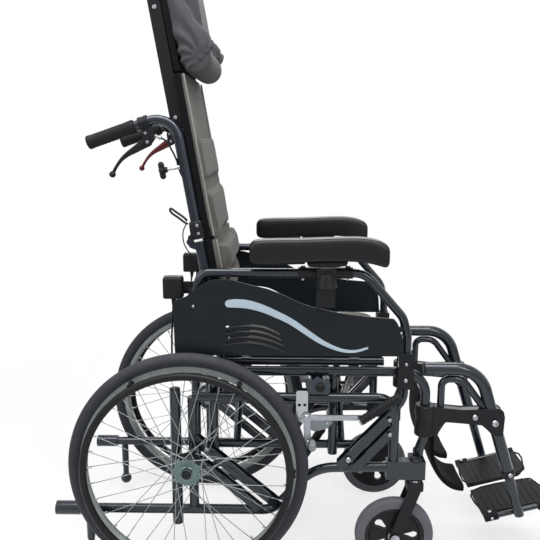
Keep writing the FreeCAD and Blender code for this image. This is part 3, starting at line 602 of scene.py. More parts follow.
for side, way in SIDES:
    body = "wheel_" + side
    tyre = add_piece("tyre_tread_" + side, tread(way * WHEEL_Y), tyre_rubber, body, sharp=50)
    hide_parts("tyre_" + side)
    hub_out = (0, way, 0)
    face = way * (WHEEL_Y + 28)
    flange_at = at(0, way * (WHEEL_Y + 22), WHEEL_R)
    hub_trim = [turned([(17.4, -8), (17.8, -7), (17.8, 0), (16, 1.6), (14.2, 1.6), (14.2, -1)],
                       at(0, face, WHEEL_R), hub_out, 48, ring=True),
                turned([(34, -2.4), (34.8, -1), (34.8, 1), (34, 2.4), (24, 3.2), (20, 4.4), (17.2, 4.8),
                        (17.2, -2.4)], flange_at, hub_out, 64, ring=True)]
    for k in range(18):
        a = 2 * math.pi * k / 18
        head = flange_at + Vector((29.5 * math.sin(a), way * 2.6, 29.5 * math.cos(a))) * MM
        hub_trim.append(turned([(2.2, 0), (2.2, 0.8), (1.2, 1.8), (0, 2)], head, hub_out, 10))
    add_piece("hub_trim_" + side, joined(*hub_trim), hub_alloy, body)
    button = turned([(13.9, -1), (13.9, 6.6), (12.8, 8.3), (9.4, 9), (8.8, 8.5), (0, 8.7)],
                    at(0, face, WHEEL_R), hub_out, 40)
    add_piece("release_button_" + side, button, black_plastic, body)
    nipples = []
    for k in range(36):
        flange = 1 if k % 2 else -1
        a = 2 * math.pi * k / 36
        place = at(257.5 * math.sin(a), way * WHEEL_Y - flange * 2.4, WHEEL_R + 257.5 * math.cos(a))
        inward = Vector((-math.sin(a), 0, -math.cos(a)))
        nipples.append(turned([(2.6, -1), (2.6, 2), (1.9, 3), (1.9, 11), (1.2, 12)], place, inward, 10))
    add_piece("spoke_nipples_" + side, joined(*nipples), zinc, body)
    studs = []
    for k in range(6):
        a = math.radians(60 * k + 30)
        place = at(266 * math.sin(a), way * (WHEEL_Y + 11), WHEEL_R + 266 * math.cos(a))
        studs.append(turned([(7, 0), (7, 1.2), (5.4, 2.6), (5.2, 22), (6.5, 27)], place, hub_out, 20))
    add_piece("hand_rim_stands_" + side, joined(*studs), black_powder, body)

# Casters: black moulded five-spoke wheels with a grey rolled tyre, on a folded fork under the frame's
# block. A pressed washer and a nut show at each end of the axle.
CASTER_X, CASTER_R = 533.5, 102.5
STEM_X = 583.0
caster_grey = surface("caster_rubber", (84, 84, 90), 0.5, grain=1300, relief=0.2, mottle=0.06, dust=0.08,
                      gloss=0.3)
dress(caster_grey, "tyre", *both("caster_tyre"))
dress(black_plastic, "black_plastic", *both("caster_wheel"), *both("caster_fork"))
for side, way in SIDES:
    y = way * BASE_Y
    nuts = []
    for out in (-1, 1):
        face = y + out * 28
        nuts.append(turned([(8, 0), (8, 4), (6.8, 5.2), (4.2, 5.2), (4.2, 7.5), (3.4, 8.2), (0, 8.2)],
                           at(CASTER_X, face, CASTER_R), (0, out, 0), 6))
        nuts.append(turned([(11, 0), (11, 1.2), (7.5, 1.4), (7.5, 0)], at(CASTER_X, face, CASTER_R),
                           (0, out, 0), 32))
    add_piece("caster_nuts_" + side, joined(*nuts), zinc, "fork_" + side)
    bearing = [(12.5, -1), (15.5, 0), (16.5, 1.6), (15.2, 2.4), (12, 2.4)]
    caps = [turned(bearing, at(CASTER_X, y + out * 15, CASTER_R), (0, out, 0), 36) for out in (-1, 1)]
    add_piece("caster_bearings_" + side, joined(*caps), zinc, "caster_" + side)
    dome = turned([(17, -2), (17, 1), (14, 4.5), (7, 6.5), (0, 7)], at(STEM_X, y, 312), (0, 0, 1), 32)
    add_piece("stem_cap_" + side, dome, black_plastic, "base_" + side)
    collar = turned([(15, 0), (17, 1), (17, 4), (15, 5)], at(STEM_X, y, 254), (0, 0, 1), 32)
    add_piece("stem_seal_" + side, collar, zinc, "fork_" + side)

# Wheel locks: a zinc clamp plate with two screws on the top rail, a flat steel lever on its pin with a
# ribbed black grip, and a knurled shoe that bites the tyre.
LOCK_Y = 232.0
lock_steel = surface("brushed_lock_steel", (150, 153, 158), 0.34, metallic=1.0, grain=2000, relief=0.1,
                     wear=0.2, worn=(200, 200, 204), dust=0.04)
cast_dark = surface("dark_casting", (62, 69, 74), 0.42, metallic=0.6, grain=1500, relief=0.3, mottle=0.1,
                    dust=0.04, gloss=0.3)
cast_grey = surface("cast_alloy", (118, 124, 126), 0.48, metallic=0.75, grain=1500, relief=0.3, mottle=0.12,
                    dust=0.06)
dress(lock_steel, "bright_steel", *both("wheel_lock"))
for side, way in SIDES:
    lock, base = "lock_" + side, "base_" + side
    start, end = at(436, way * 238, 431), at(532, way * 238, 497)
    ahead = (end - start).normalized()
    long = (end - start).length / MM
    profile = [(0, -2), (8, -2), (11, 0)]
    for k in range(11):
        profile += [(11.8, 4 + k * 9), (11.8, 8 + k * 9), (10.6, 9.4 + k * 9), (10.6, 11.6 + k * 9)]
    profile += [(12.2, long - 5), (11.2, long - 1), (7, long + 1), (0, long + 1.5)]
    profile = [p for p in profile if p[1] <= long + 2]
    profile.sort(key=lambda p: p[1])
    add_piece("lock_grip_" + side, turned(profile, start, ahead, 28), black_plastic, lock)
    knurl = []
    for k in range(9):
        knurl += [(9.1, k * 3.0), (10.2, k * 3.0 + 0.8), (10.2, k * 3.0 + 1.8), (9.1, k * 3.0 + 2.6)]
    knurl += [(9.1, 29.5), (7, 31), (0, 31)]
    shoe = turned(knurl, at(313.5, way * 233, 368), (0, way, 0), 32)
    add_piece("lock_shoe_" + side, shoe, cast_grey, lock)
    pin = joined(screw(at(300, way * LOCK_Y, 436), (0, way, 0), 8.5, 5),
                 screw(at(303, way * LOCK_Y, 370), (0, way, 0), 5, 3))
    add_piece("lock_pins_" + side, pin, zinc, lock)
    plate_y = way * 223.6
    outline = [(273, 424), (277, 420), (299, 420), (303, 424), (303, 501), (299, 505), (277, 505),
               (273, 501)]
    holes = []
    for x in (281, 295):
        holes.append([(x + 3.8 * math.cos(a), 468 + 3.8 * math.sin(a))
                      for a in (2 * math.pi * k / 20 for k in range(20))])
    clamp = sheet_shape(outline, holes, plate_y, plate_y + way * 3.2)
    add_piece("lock_clamp_" + side, clamp, zinc, base, bevel=0.8)
    casting = sheet_shape([(306, 402), (322, 396), (352, 404), (366, 418), (362, 434), (340, 440),
                           (318, 432), (306, 424)], [], way * 217.6, way * 226)
    add_piece("lock_casting_" + side, casting, cast_grey, base, bevel=2.2)
    bolts = joined(screw(at(288, way * 226.8, 434), (0, way, 0), 4.4),
                   screw(at(352, way * 226, 421), (0, way, 0), 5))
    add_piece("lock_screws_" + side, bolts, zinc, base)
    ear = sheet_shape([(302, 494), (356, 494), (360, 520), (352, 536), (340, 530), (327, 540), (314, 530),
                       (302, 536), (296, 520)], [], way * 214.5, way * 219)
    add_piece("tilt_casting_" + side, ear, cast_dark, base, bevel=1.4)
    knob = turned([(0, 9), (8, 8.6), (11, 6), (11.6, 2), (11, 0)], at(334, way * 219, 512), (0, way, 0), 12)
    add_piece("tilt_knob_" + side, knob, black_plastic, base)

# Gas springs: a black cylinder with a ground steel rod, from the lower tube to the front upright.
# A ring of the cylinder's rolled end and a rod wiper show where the rod leaves it.
GAS_Y = 128.0
GAS_FOOT, GAS_HEAD = Vector((262.0, 0, 221.7)), Vector((370.0, 0, 405.0))
gas_ahead = (GAS_HEAD - GAS_FOOT).normalized()
dress(zinc, "bright_steel", *both("gas_rod"))
for side, way in SIDES:
    collar_at = at(GAS_FOOT.x, way * GAS_Y, GAS_FOOT.z) + gas_ahead * 160 * MM
    collar = turned([(11.4, -6), (12, -4), (12, 2), (10, 4.5), (6, 5.5), (6, 4)], collar_at, gas_ahead, 36)
    add_piece("gas_collar_" + side, collar, black_plastic, "gascyl_" + side)

# Cross brace: two pairs of crossed tubes on a middle bolt. Black bushes close the ends of the turning
# tubes, and a zinc bolt and nut hold each crossing.
BRACE_LOW_Z, BRACE_RISE = 330.0, 230.0
for body, way, xs in (("brace_a", -1, (118.0, 395.0)), ("brace_b", 1, (146.0, 423.0))):
    ends = []
    for x, out in ((40, -1), (444, 1)):
        ends.append(turned([(10, -2), (11.8, 0), (11.6, 2), (8, 3.4), (0, 3.6)],
                           at(x, way * BRACE_Y, BRACE_LOW_Z), (out, 0, 0), 28))
    add_piece(body + "_plugs", joined(*ends), black_plastic, body)
    out = -1 if body == "brace_a" else 1
    heads = [turned([(9, 0), (9, 4.5), (7.6, 5.8), (0, 5.8)], at(x + out * 10.4, 0, BRACE_LOW_Z + BRACE_RISE / 2),
                    (out, 0, 0), 6) for x in xs]
    add_piece(body + "_bolts", joined(*heads), zinc, body)

# Cable boxes and covers: the black housing behind each back tube takes the tilt cable down to the rail.
# A lid with two screws closes its top, and a rubber boot seals the cable below.
rubber = surface("soft_rubber", (20, 20, 21), 0.62, grain=2600, relief=0.35, mottle=0.05, dust=0.03, gloss=0.18)
dress(black_plastic, "black_plastic", *both("cable_box"))
for side, way in SIDES:
    y = way * SEAT_Y
    body = "seat_" + side
    lid = sheet_shape([(-60, 785.5), (-14, 785.5), (-14, 788), (-60, 788)], [], y - 14, y + 14)
    add_piece("cable_lid_" + side, lid, black_plastic, body, bevel=1.0)
    heads = joined(screw(at(-53, y, 788), (0, 0, 1), 3.2), screw(at(-21, y, 788), (0, 0, 1), 3.2))
    add_piece("cable_lid_screws_" + side, heads, zinc, body)
    boot = turned([(6.5, 0), (6.2, 5), (4.6, 6), (5.2, 9), (4.2, 10), (4.6, 13), (3.2, 18), (2.4, 22)],
                  at(-37, y, 733), (-0.07, 0, -1), 20)
    add_piece("cable_boot_" + side, boot, rubber, body)


def on_back(offset, along, y):
    """A place beside the back tube: offset forward of its line, along it from the fold hinge."""
    lean = math.radians(9.7)
    return at(30 + offset * math.cos(lean) - along * math.sin(lean), y,
              880 + offset * math.sin(lean) + along * math.cos(lean))


BACK_UP = (on_back(0, 100, 0) - on_back(0, 0, 0)).normalized()
BACK_OUT = (on_back(100, 0, 0) - on_back(0, 0, 0)).normalized()

# Push handles: a closed rubber grip on the bent tube, a clamp that carries the tilt lever between two
# cheeks, a zinc cable adjuster and the lever itself, black on the right and dark red on the left.
HANDLE_END = (-230.1, 1118.6)
HANDLE_SLOPE = math.radians(18.9)
LEVER_PIVOT = (-88.7, 1119.3)
red_lacquer = surface("red_lacquer", (84, 17, 20), 0.32, metallic=0.3, grain=1500, relief=0.05, wear=0.2,
                      dust=0.01, coat=0.3, gloss=0.2)
LEVER_LINE = [(6, 3, 9), (0, 0, 11), (-16, -8, 10.5), (-34, -19, 8.6), (-52, -30, 6.2), (-68, -44, 4.5),
              (-80, -60, 3.8), (-88, -74, 4.2)]
LEVER_BALL = (-90, -78, 8.0)


def lever_blade(y):
    """The lever's tapered blade with its ball end, as one casting."""
    px, pz = LEVER_PIVOT
    line = through([(px + dx, 0, pz + dz) for dx, dz, half in LEVER_LINE], 4)
    halves = [p.x for p in through([(half, 0, 0) for dx, dz, half in LEVER_LINE], 4)]
    rings = []
    for i, p in enumerate(line):
        ahead = (line[min(i + 1, len(line) - 1)] - line[max(i - 1, 0)]).normalized()
        thick = 5.2 - 1.6 * i / (len(line) - 1)
        half = halves[i] * (0.5 if i == 0 else 1.0)
        ring = []
        for k in range(20):
            c, s = math.cos(2 * math.pi * k / 20), math.sin(2 * math.pi * k / 20)
            wide = half * math.copysign(abs(c) ** 0.7, c)
            deep = thick * math.copysign(abs(s) ** 0.7, s)
            ring.append(at(p.x - ahead.z * wide, y + deep, p.z + ahead.x * wide))
        rings.append(ring)
    dx, dz, radius = LEVER_BALL
    ball = turned([(radius * math.sin(math.pi * k / 14), -radius * math.cos(math.pi * k / 14)) for k in range(15)],
                  at(px + dx, y, pz + dz), (0, 1, 0), 24)
    return joined(rings_between(rings), ball)


for side, way in SIDES:
    finish, slot = (black_plastic, "black_plastic") if side == "R" else (red_lacquer, "red_lever")
    blade = add_piece("lever_blade_" + side, lever_blade(way * SEAT_Y), finish, "lever_" + side, sharp=50)
    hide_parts("hand_lever_" + side)
handle_ahead = Vector((math.cos(HANDLE_SLOPE), 0, math.sin(HANDLE_SLOPE)))
for side, way in SIDES:
    y = way * SEAT_Y
    body = "back_" + side
    rear = at(HANDLE_END[0], y, HANDLE_END[1])
    profile = [(0, -6), (14, -6), (16.2, -4.6), (17, -2), (17, 3), (16.4, 6)]
    for k in range(9):
        profile += [(16.5, 12 + k * 9), (16.1, 13.2 + k * 9), (16.1, 15 + k * 9), (16.5, 16.2 + k * 9)]
    profile += [(16.5, 96), (17.2, 104), (17.2, 112), (16.2, 116), (13.2, 118)]
    grip = add_piece("grip_" + side, turned(profile, rear, handle_ahead, 40), rubber, body)
    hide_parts("handle_fittings_" + side)
    collar = [(12.7, 128), (15.8, 128), (17, 129.4), (17, 136), (16.2, 137), (16.2, 144), (17, 145),
              (17, 150.6), (15.8, 152), (12.7, 152)]
    clamp = joined(turned(collar, rear, handle_ahead, 36, ring=True),
                   capsule(at(-98, y - way * 13, 1166), at(-98, y + way * 13, 1166), 5))
    add_piece("lever_clamp_" + side, clamp, black_plastic, body)
    px, pz = LEVER_PIVOT
    cheek = [(px - 9, pz + 33), (px - 13, pz + 18), (px - 9, pz - 4), (px - 3, pz - 9), (px + 5, pz - 8),
             (px + 10, pz - 1), (px + 17, pz + 8), (px + 18, pz + 20), (px + 9, pz + 37)]
    cheeks = joined(sheet_shape(cheek, [], y - 10, y - 6), sheet_shape(cheek, [], y + 6, y + 10),
                    sheet_shape([(px - 8, pz + 20), (px + 16, pz + 13), (px + 17, pz + 20), (px + 9, pz + 36),
                                 (px - 8, pz + 32)], [], y - 6, y + 6))
    add_piece("lever_cheeks_" + side, cheeks, black_plastic, body, bevel=0.9)
    heads = []
    for out in (-1, 1):
        heads.append(screw(at(px, y + out * 10, pz), (0, out, 0), 4.2))
        heads.append(screw(at(px - 4, y + out * 10, pz + 21), (0, out, 0), 3.8))
    add_piece("lever_screws_" + side, joined(*heads), zinc, body)
    adjuster = turned([(3.4, 0), (5.2, 1), (5.2, 4), (3.6, 5), (3.6, 9), (5.4, 10), (5.4, 15), (4, 17),
                       (2.6, 17)], at(px + 16, y, pz + 14), (0.96, 0, -0.28), 18)
    add_piece("cable_adjuster_" + side, adjuster, zinc, body)
    route = [at(px + 30, y, pz + 10), at(px + 42, y, pz + 3), at(px + 56, y, pz - 18), at(px + 68, y, pz - 44),
             on_back(-14, 172, y), on_back(-10.5, 160, y)]
    add_piece("tilt_cable_" + side, pipe(through(route, 6), 2.2), rubber, body)

# The T-knobs pull a spring pin out of the extension bar, and the latch behind each hinge frees the
# folding back: a clamp block round the tube, an oval pull loop and a thin wire down to the seat frame.
for side, way in SIDES:
    y = way * SEAT_Y
    body = "back_" + side
    stem = turned([(6.5, 0), (6.5, 5), (3.4, 6), (3.4, 32), (4.6, 33)], on_back(-12.3, 183, y), -BACK_OUT, 24)
    add_piece("pull_pin_" + side, stem, zinc, body)
    knob = joined(turned([(5.5, 0), (7.4, 3), (7, 8), (5.4, 12)], on_back(-43, 183, y), -BACK_OUT, 24),
                  capsule(on_back(-57, 169, y), on_back(-57, 197, y), 7.6),
                  capsule(on_back(-57, 183, y - 5), on_back(-57, 183, y + 5), 7.8))
    add_piece("pull_knob_" + side, knob, black_plastic, body)
    block_rings = []
    for along, grow in ((8, -2.5), (9.5, 0), (24, 0.8), (38, 0), (46, -1), (48, -3.5)):
        ring = []
        for k in range(32):
            a = 2 * math.pi * k / 32
            c, s = math.cos(a), math.sin(a)
            r = 17.5 / max(abs(c), abs(s)) ** 0.55 + grow
            ring.append(on_back(r * c, along, y) + Vector((0, r * s * MM * 0.92, 0)))
        block_rings.append(ring)
    add_piece("latch_block_" + side, rings_between(block_rings), black_plastic, body)
    loop = [on_back(o, s, y + way * 4) for o, s in ((-19, 52), (-27, 63), (-41, 77), (-52, 88), (-56, 85),
                                                   (-52, 76), (-38, 62), (-27, 50), (-19, 44))]
    add_piece("latch_loop_" + side, pipe(through(loop, 5), 2.8, 10), black_plastic, body)
    heads = joined(screw(on_back(4, 18, y + way * 17), (0, way, 0), 4), screw(on_back(4, 38, y + way * 17), (0, way, 0), 4))
    add_piece("latch_screws_" + side, heads, zinc, body)
    wire_line = through([on_back(o, s, y + way * 6) for o, s in ((-22, 46), (-33, 30), (-37, 14), (-37, -4),
                                                                (-31, -22), (-20, -40), (-14, -52))], 6)
    points, faces = pipe(wire_line, 1.5, 8)
    mesh = bpy.data.meshes.new("latch_wire_" + side)
    mesh.from_pydata([tuple(p) for p in points], [], faces)
    mesh.materials.append(rubber)
    mesh.shade_smooth()
    wire = bpy.data.objects.new("latch_wire_" + side, mesh)
    scene.collection.objects.link(wire)
    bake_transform(wire)
    bar_bolts = joined(screw(on_back(-2, 302, way * 164), (0, way, 0), 5.5),
                       screw(on_back(-2, 560, way * 164), (0, way, 0), 5.5))
    add_piece("bar_bolts_" + side, bar_bolts, zinc, "ext_" + side)
    top = sheet_shape([(p.x / MM - AXLE_X / MM, p.z / MM) for p in
                       (on_back(-18, 632, 0), on_back(14, 632, 0), on_back(14, 642, 0), on_back(-18, 642, 0))],
                      [], way * 148.5, way * 165.5)
    add_piece("bar_plug_" + side, top, black_plastic, "ext_" + side, bevel=1.5)

# Arms: black moulded clamps on the arm tube carry a sliding post, and a long pad of black
# self-skinning foam is screwed to the post's plate.
ARM_Y, PAD_Y = 205.0, 222.0
POST_X = 344.0
skin_foam = surface("self_skinned_foam", (19, 18, 22), 0.36, grain=1100, relief=0.22, mottle=0.04, wear=0.08,
                    worn=(70, 70, 74), dust=0.02, gloss=0.25)
dress(black_plastic, "black_plastic", *both("arm_clamp"))
PAD_STATIONS = [(157, 871, 845, 17), (159, 878, 837, 21), (165, 885, 831, 24), (178, 889, 829, 25.2),
                (205, 890, 829, 25.4), (240, 890.5, 831, 25.4), (290, 891, 834.5, 25.4), (340, 893, 837, 25.4),
                (385, 895, 837.5, 25.4), (425, 895.5, 836, 25.4), (455, 892, 831, 25.2), (474, 886, 825, 25),
                (486, 879.5, 822, 24), (491, 875, 824, 22.5), (494.5, 868, 831, 20), (495, 862, 838, 17)]
for side, way in SIDES:
    rings = []
    for x, high, low, wide in PAD_STATIONS:
        ring = []
        mid, half = (high + low) / 2, (high - low) / 2
        for k in range(32):
            a = 2 * math.pi * k / 32
            c, s = math.cos(a), math.sin(a)
            power = 0.42 if s > 0 else 0.28
            across = math.copysign(abs(c) ** power, c) * wide
            up = math.copysign(abs(s) ** (0.55 if s > 0 else 0.3), s) * half
            ring.append(at(x, way * PAD_Y + across, mid + up))
        rings.append(ring)
    pad = add_piece("arm_pad_skin_" + side, rings_between(rings), skin_foam, "pad_" + side,
                    sharp=60, smooth=1)
    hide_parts("arm_pad_" + side)
    y = way * PAD_Y
    post = sheet_shape([(POST_X - 14.7, 726), (POST_X + 14.7, 726), (POST_X + 14.7, 826), (POST_X - 14.7, 826)],
                       [[(POST_X + 3.2 * math.cos(a), z + 3.2 * math.sin(a))
                         for a in (2 * math.pi * k / 16 for k in range(16))] for z in (736, 750, 764)],
                       y - 6, y + 6)
    add_piece("arm_post_" + side, post, zinc, "pad_" + side, bevel=1.2)
    seat = sheet_shape([(296, 833), (300, 824), (322, 822), (366, 822), (392, 826), (396, 836)], [],
                       y - 15, y + 15)
    add_piece("arm_pad_base_" + side, seat, black_plastic, "pad_" + side, bevel=2.0)
    strip = sheet_shape([(196, 830.5), (198, 826), (292, 829), (292, 835)], [], y - 8, y + 8)
    add_piece("arm_pad_rail_" + side, strip, black_plastic, "pad_" + side, bevel=1.0)
    tube_y = way * ARM_Y
    caps = []
    for x in (288, 398):
        caps.append(turned([(6.5, -2), (6.5, 2.5), (5, 3.6), (0, 3.8)], at(x, tube_y, 817), (0, 0, 1), 20))
    add_piece("clamp_plugs_" + side, joined(*caps), black_plastic, "arm_" + side)
    heads = joined(screw(at(288, tube_y + way * 2, 787), (0, way, -0.6), 3.6),
                   screw(at(398, tube_y + way * 2, 787), (0, way, -0.6), 3.6),
                   screw(at(17, way * (ARM_Y + 12), 745), (0, way, 0), 6))
    add_piece("clamp_screws_" + side, heads, zinc, "arm_" + side)

# Side panels: a slate moulded guard with a rounded edge, four curved louvres over the wheel, and a
# plain pale stripe that narrows as it runs forward. Bosses and screws hold it to the arm tube.
PANEL_OUT, PANEL_IN = 225.0, 219.0
panel_slate = surface("slate_panel", (23, 27, 30), 0.36, grain=1700, relief=0.1, mottle=0.03, wear=0.08,
                      worn=(80, 84, 88), dust=0.02, gloss=0.16)
stripe_paint = surface("pale_stripe", (166, 181, 192), 0.4, metallic=0.15, grain=2400, relief=0.06,
                       mottle=0.04, dust=0.02, gloss=0.3)
upper_edge = through([(450, 0, 697), (394, 0, 704), (357, 0, 711), (313, 0, 721), (280, 0, 732), (249, 0, 747),
                      (200, 0, 766), (150, 0, 778), (110, 0, 788), (62, 0, 787), (28, 0, 768), (0, 0, 746),
                      (-26, 0, 738)], 4)
PANEL_OUTLINE = [(-29, 735), (-32, 700), (-30, 600), (-26, 596), (534, 596), (539, 600), (536, 640),
                 (530, 664), (519, 684), (512, 692)] + [(p.x, p.z) for p in upper_edge]
STRIPE = [(106, 729, 9.4), (122, 730, 10.6), (150, 728, 10.6), (184, 719, 9.6), (220, 704, 8.6), (261, 683, 7.8),
          (304, 653, 7), (331, 635, 6.2), (361, 620, 5), (388, 611, 4.2), (418, 609, 3.5), (450, 618, 2.8)]


def louvre(k):
    """One curved slot, as its lower edge and its outline."""
    z = 624 + 14.5 * k
    line = through([(98, 0, z + 2), (140, 0, z + 8), (190, 0, z + 3), (246 - 5 * k, 0, z - 16)], 6)
    half = 2.4
    outline = [(p.x, p.z + half) for p in line] + [(p.x, p.z - half) for p in line[::-1]]
    return line, outline


for side, way in SIDES:
    body = "arm_" + side
    slots = [louvre(k)[1] for k in range(4)]
    panel = add_piece("guard_panel_" + side, sheet_shape(PANEL_OUTLINE, slots, way * PANEL_IN, way * PANEL_OUT),
                      panel_slate, body, bevel=1.6)
    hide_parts("side_panel_" + side)
    lips = [pipe([at(p.x, way * (PANEL_OUT + 0.4), p.z - 3.4) for p in louvre(k)[0]], 1.5, 10) for k in range(4)]
    add_piece("louvre_lips_" + side, joined(*lips), panel_slate, body)
    line = through([(x, 0, z) for x, z, half in STRIPE], 4)
    halves = through([(half, 0, 0) for x, z, half in STRIPE], 4)
    top, low = [], []
    for i, p in enumerate(line):
        ahead = (line[min(i + 1, len(line) - 1)] - line[max(i - 1, 0)]).normalized()
        up = Vector((-ahead.z, 0, ahead.x))
        if up.z < 0:
            up = -up
        half = halves[i].x
        top.append((p.x + up.x * half, p.z + up.z * half))
        low.append((p.x - up.x * half, p.z - up.z * half))
    tip_x, tip_z, tip_r = STRIPE[0]
    nose = [(tip_x - tip_r * math.sin(a), tip_z - tip_r * math.cos(a))
            for a in (math.pi * k / 8 for k in range(1, 8))]
    stripe = sheet_shape(top + low[::-1] + nose, [], way * PANEL_OUT, way * (PANEL_OUT + 0.9))
    add_piece("panel_stripe_" + side, stripe, stripe_paint, body, bevel=0.3)
    clips = []
    for x, z in ((104, 794), (532, 664)):
        clips.append(turned([(6, 0), (6, (PANEL_IN - ARM_Y - 6)), (4, (PANEL_IN - ARM_Y - 4))],
                            at(x, way * PANEL_IN, z), (0, -way, 0), 20))
    add_piece("panel_bosses_" + side, joined(*clips), black_plastic, body)
    heads = joined(screw(at(531, way * PANEL_OUT, 656), (0, way, 0), 3.4),
                   screw(at(18, way * PANEL_OUT, 722), (0, way, 0), 3.4))
    add_piece("panel_screws_" + side, heads, zinc, body)

# Arm receivers: a black moulded jaw on the seat rail that the arm's front leg drops into, with a bent
# tube that runs back under it.
for side, way in SIDES:
    y = way * ARM_Y
    body = "seat_" + side
    shell = []
    for z0, z1, grow in ((508, 556, 2.0), (556, 602, 0.8)):
        outline = [(529 - grow, z0), (565.5 + grow, z0), (565.5 + grow, z1), (529 - grow, z1)]
        shell.append(sheet_shape(outline, [], y + way * 14.2, y + way * (15.4 + grow)))
        shell.append(sheet_shape(outline, [], y - way * 14.2, y - way * (15.4 + grow)))
    add_piece("arm_jaw_" + side, joined(*shell), black_plastic, body, bevel=1.0)
    heads = joined(screw(at(547, y + way * 17.4, 532), (0, way, 0), 5), screw(at(547, y + way * 17.4, 574), (0, way, 0), 4))
    add_piece("arm_jaw_screws_" + side, heads, zinc, body)
    hook = through([at(x, way * 203, z) for x, z in ((547, 512), (549, 492), (543, 470), (528, 450), (510, 438))], 6)
    add_piece("jaw_tube_" + side, pipe(hook, 8.5, 20), enamel, body)

# Footrests: each hanger swings on the front tube in a black moulded collar with a latch arm, and
# carries a ribbed black footplate that flips on a bar.
HANGER_Y, PLATE_PITCH = 178.0, math.radians(15)
FRONT_TUBE_X = 607.0
plate_black = surface("footplate_black", (15, 16, 17), 0.5, grain=1500, relief=0.3, mottle=0.04, wear=0.12,
                      worn=(58, 60, 64), dust=0.0, gloss=0.1)
LATCH_ARM = [(609, 454), (650, 449), (700, 444), (760, 446), (797, 448), (806, 440), (810, 424), (808, 374),
             (796, 371), (780, 376), (766, 390), (752, 402), (700, 407), (660, 410), (646, 396), (640, 374),
             (609, 369)]
dress(plate_black, "black_plastic", *both("footplate"))


def leg_place(along):
    lean = math.radians(17.5)
    return 742 + along * math.sin(lean), 549 - along * math.cos(lean)


def on_plate(along, inboard, lift, way):
    c, s = math.cos(PLATE_PITCH), math.sin(PLATE_PITCH)
    return at(785 + along * c - lift * s, way * (157 - inboard), 121 + along * s + lift * c)


for side, way in SIDES:
    y = way * HANGER_Y
    body = "hanger_" + side
    arms = [sheet_shape(LATCH_ARM, [], y + out * 13.2, y + out * 16) for out in (-1, 1)]
    add_piece("latch_arm_" + side, joined(*arms), black_plastic, body, bevel=1.4)
    sleeve = turned([(23.2, -41), (25.2, -39), (25.2, -14), (23.8, -12), (23.8, 12), (25.2, 14), (25.2, 39),
                     (23.2, 41)], at(FRONT_TUBE_X, y, 412), (0, 0, 1), 48)
    add_piece("hanger_collar_" + side, sleeve, black_plastic, body)
    heads = []
    for out in (-1, 1):
        heads.append(screw(at(733, y + out * 16, 424), (0, out, 0), 7.5))
        heads.append(screw(at(785, y + out * 16, 408), (0, out, 0), 9))
    add_piece("hanger_bolts_" + side, joined(*heads), zinc, body)
    plug_at = at(602, y, 549)
    add_piece("hanger_plug_" + side, turned([(14, -2), (16.6, 0), (16.4, 2), (10, 3.4), (0, 3.6)], plug_at,
                                            (-1, 0, 0), 32), black_plastic, body)
    x, z = leg_place(302)
    down = Vector((math.sin(math.radians(17.5)), 0, -math.cos(math.radians(17.5))))
    clamp = turned([(16.4, -14), (17.6, -12), (17.6, 4), (15, 8), (13, 9)], at(x, y, z), down, 40)
    add_piece("stem_clamp_" + side, clamp, black_plastic, body)
    add_piece("stem_bolt_" + side, screw(at(x, y + way * 17.2, z + 4), (0, way, 0), 6), zinc, body)
    foot = "foot_" + side
    ribs = []
    for k in range(9):
        along = 20 + k * 17.5
        inner = 132 if along < 140 else 122 - (along - 150)
        ribs.append(capsule(on_plate(along, 22, 5.2, way), on_plate(along, inner, 5.2, way), 1.9, 10))
    rim_line = [on_plate(s, i, 4.6, way) for s, i in ((4, 16), (4, 135), (150, 135), (176, 109), (176, 16))]
    ribs.append(pipe(through(rim_line + [rim_line[0]], 4), 2.6, 10))
    under = [capsule(on_plate(along, 18, -6.5, way), on_plate(along, 128, -6.5, way), 2.6, 10)
             for along in range(20, 160, 46)]
    add_piece("plate_ribs_" + side, joined(*ribs, *under), plate_black, foot)
    heads = joined(screw(on_plate(18, 6, 11, way), (-math.sin(PLATE_PITCH), 0, math.cos(PLATE_PITCH)), 5),
                   screw(on_plate(162, 6, 11, way), (-math.sin(PLATE_PITCH), 0, math.cos(PLATE_PITCH)), 5),
                   screw(on_plate(18, -11, 0, way), (0, way, 0), 4.5))
    add_piece("plate_bolts_" + side, heads, zinc, foot)

# Upholstery cloth: warm grey knit on the cushions with a paler cord in the seams, a smooth grey
# stretch cloth on the headrest, and black woven sling behind and below.
# Every cloth finish below has threads, so its colour carries the weave's painted shade in the dips between threads.
grey_cloth = surface("grey_knit", (92, 90, 86), 0.76, grain=500, relief=0.3, mottle=0.07, threads=850,
                     sheen=0.08, dust=0.01, gloss=0.1)
pale_cord = surface("piping_cord", (132, 130, 126), 0.62, grain=900, relief=0.2, mottle=0.05, threads=1200,
                    sheen=0.15, dust=0.02, gloss=0.2)
head_cloth = surface("stretch_cloth", (78, 78, 80), 0.68, grain=420, relief=0.25, mottle=0.1, threads=1300,
                     sheen=0.04, dust=0.01, gloss=0.05)
black_cloth = surface("black_sling", (15, 15, 17), 0.74, grain=700, relief=0.35, mottle=0.06, threads=700,
                      sheen=0.04, dust=0.01, gloss=0.08)


def crumple(piece):
    """Gives the cloth piece its own copy of its mesh."""
    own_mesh(piece)


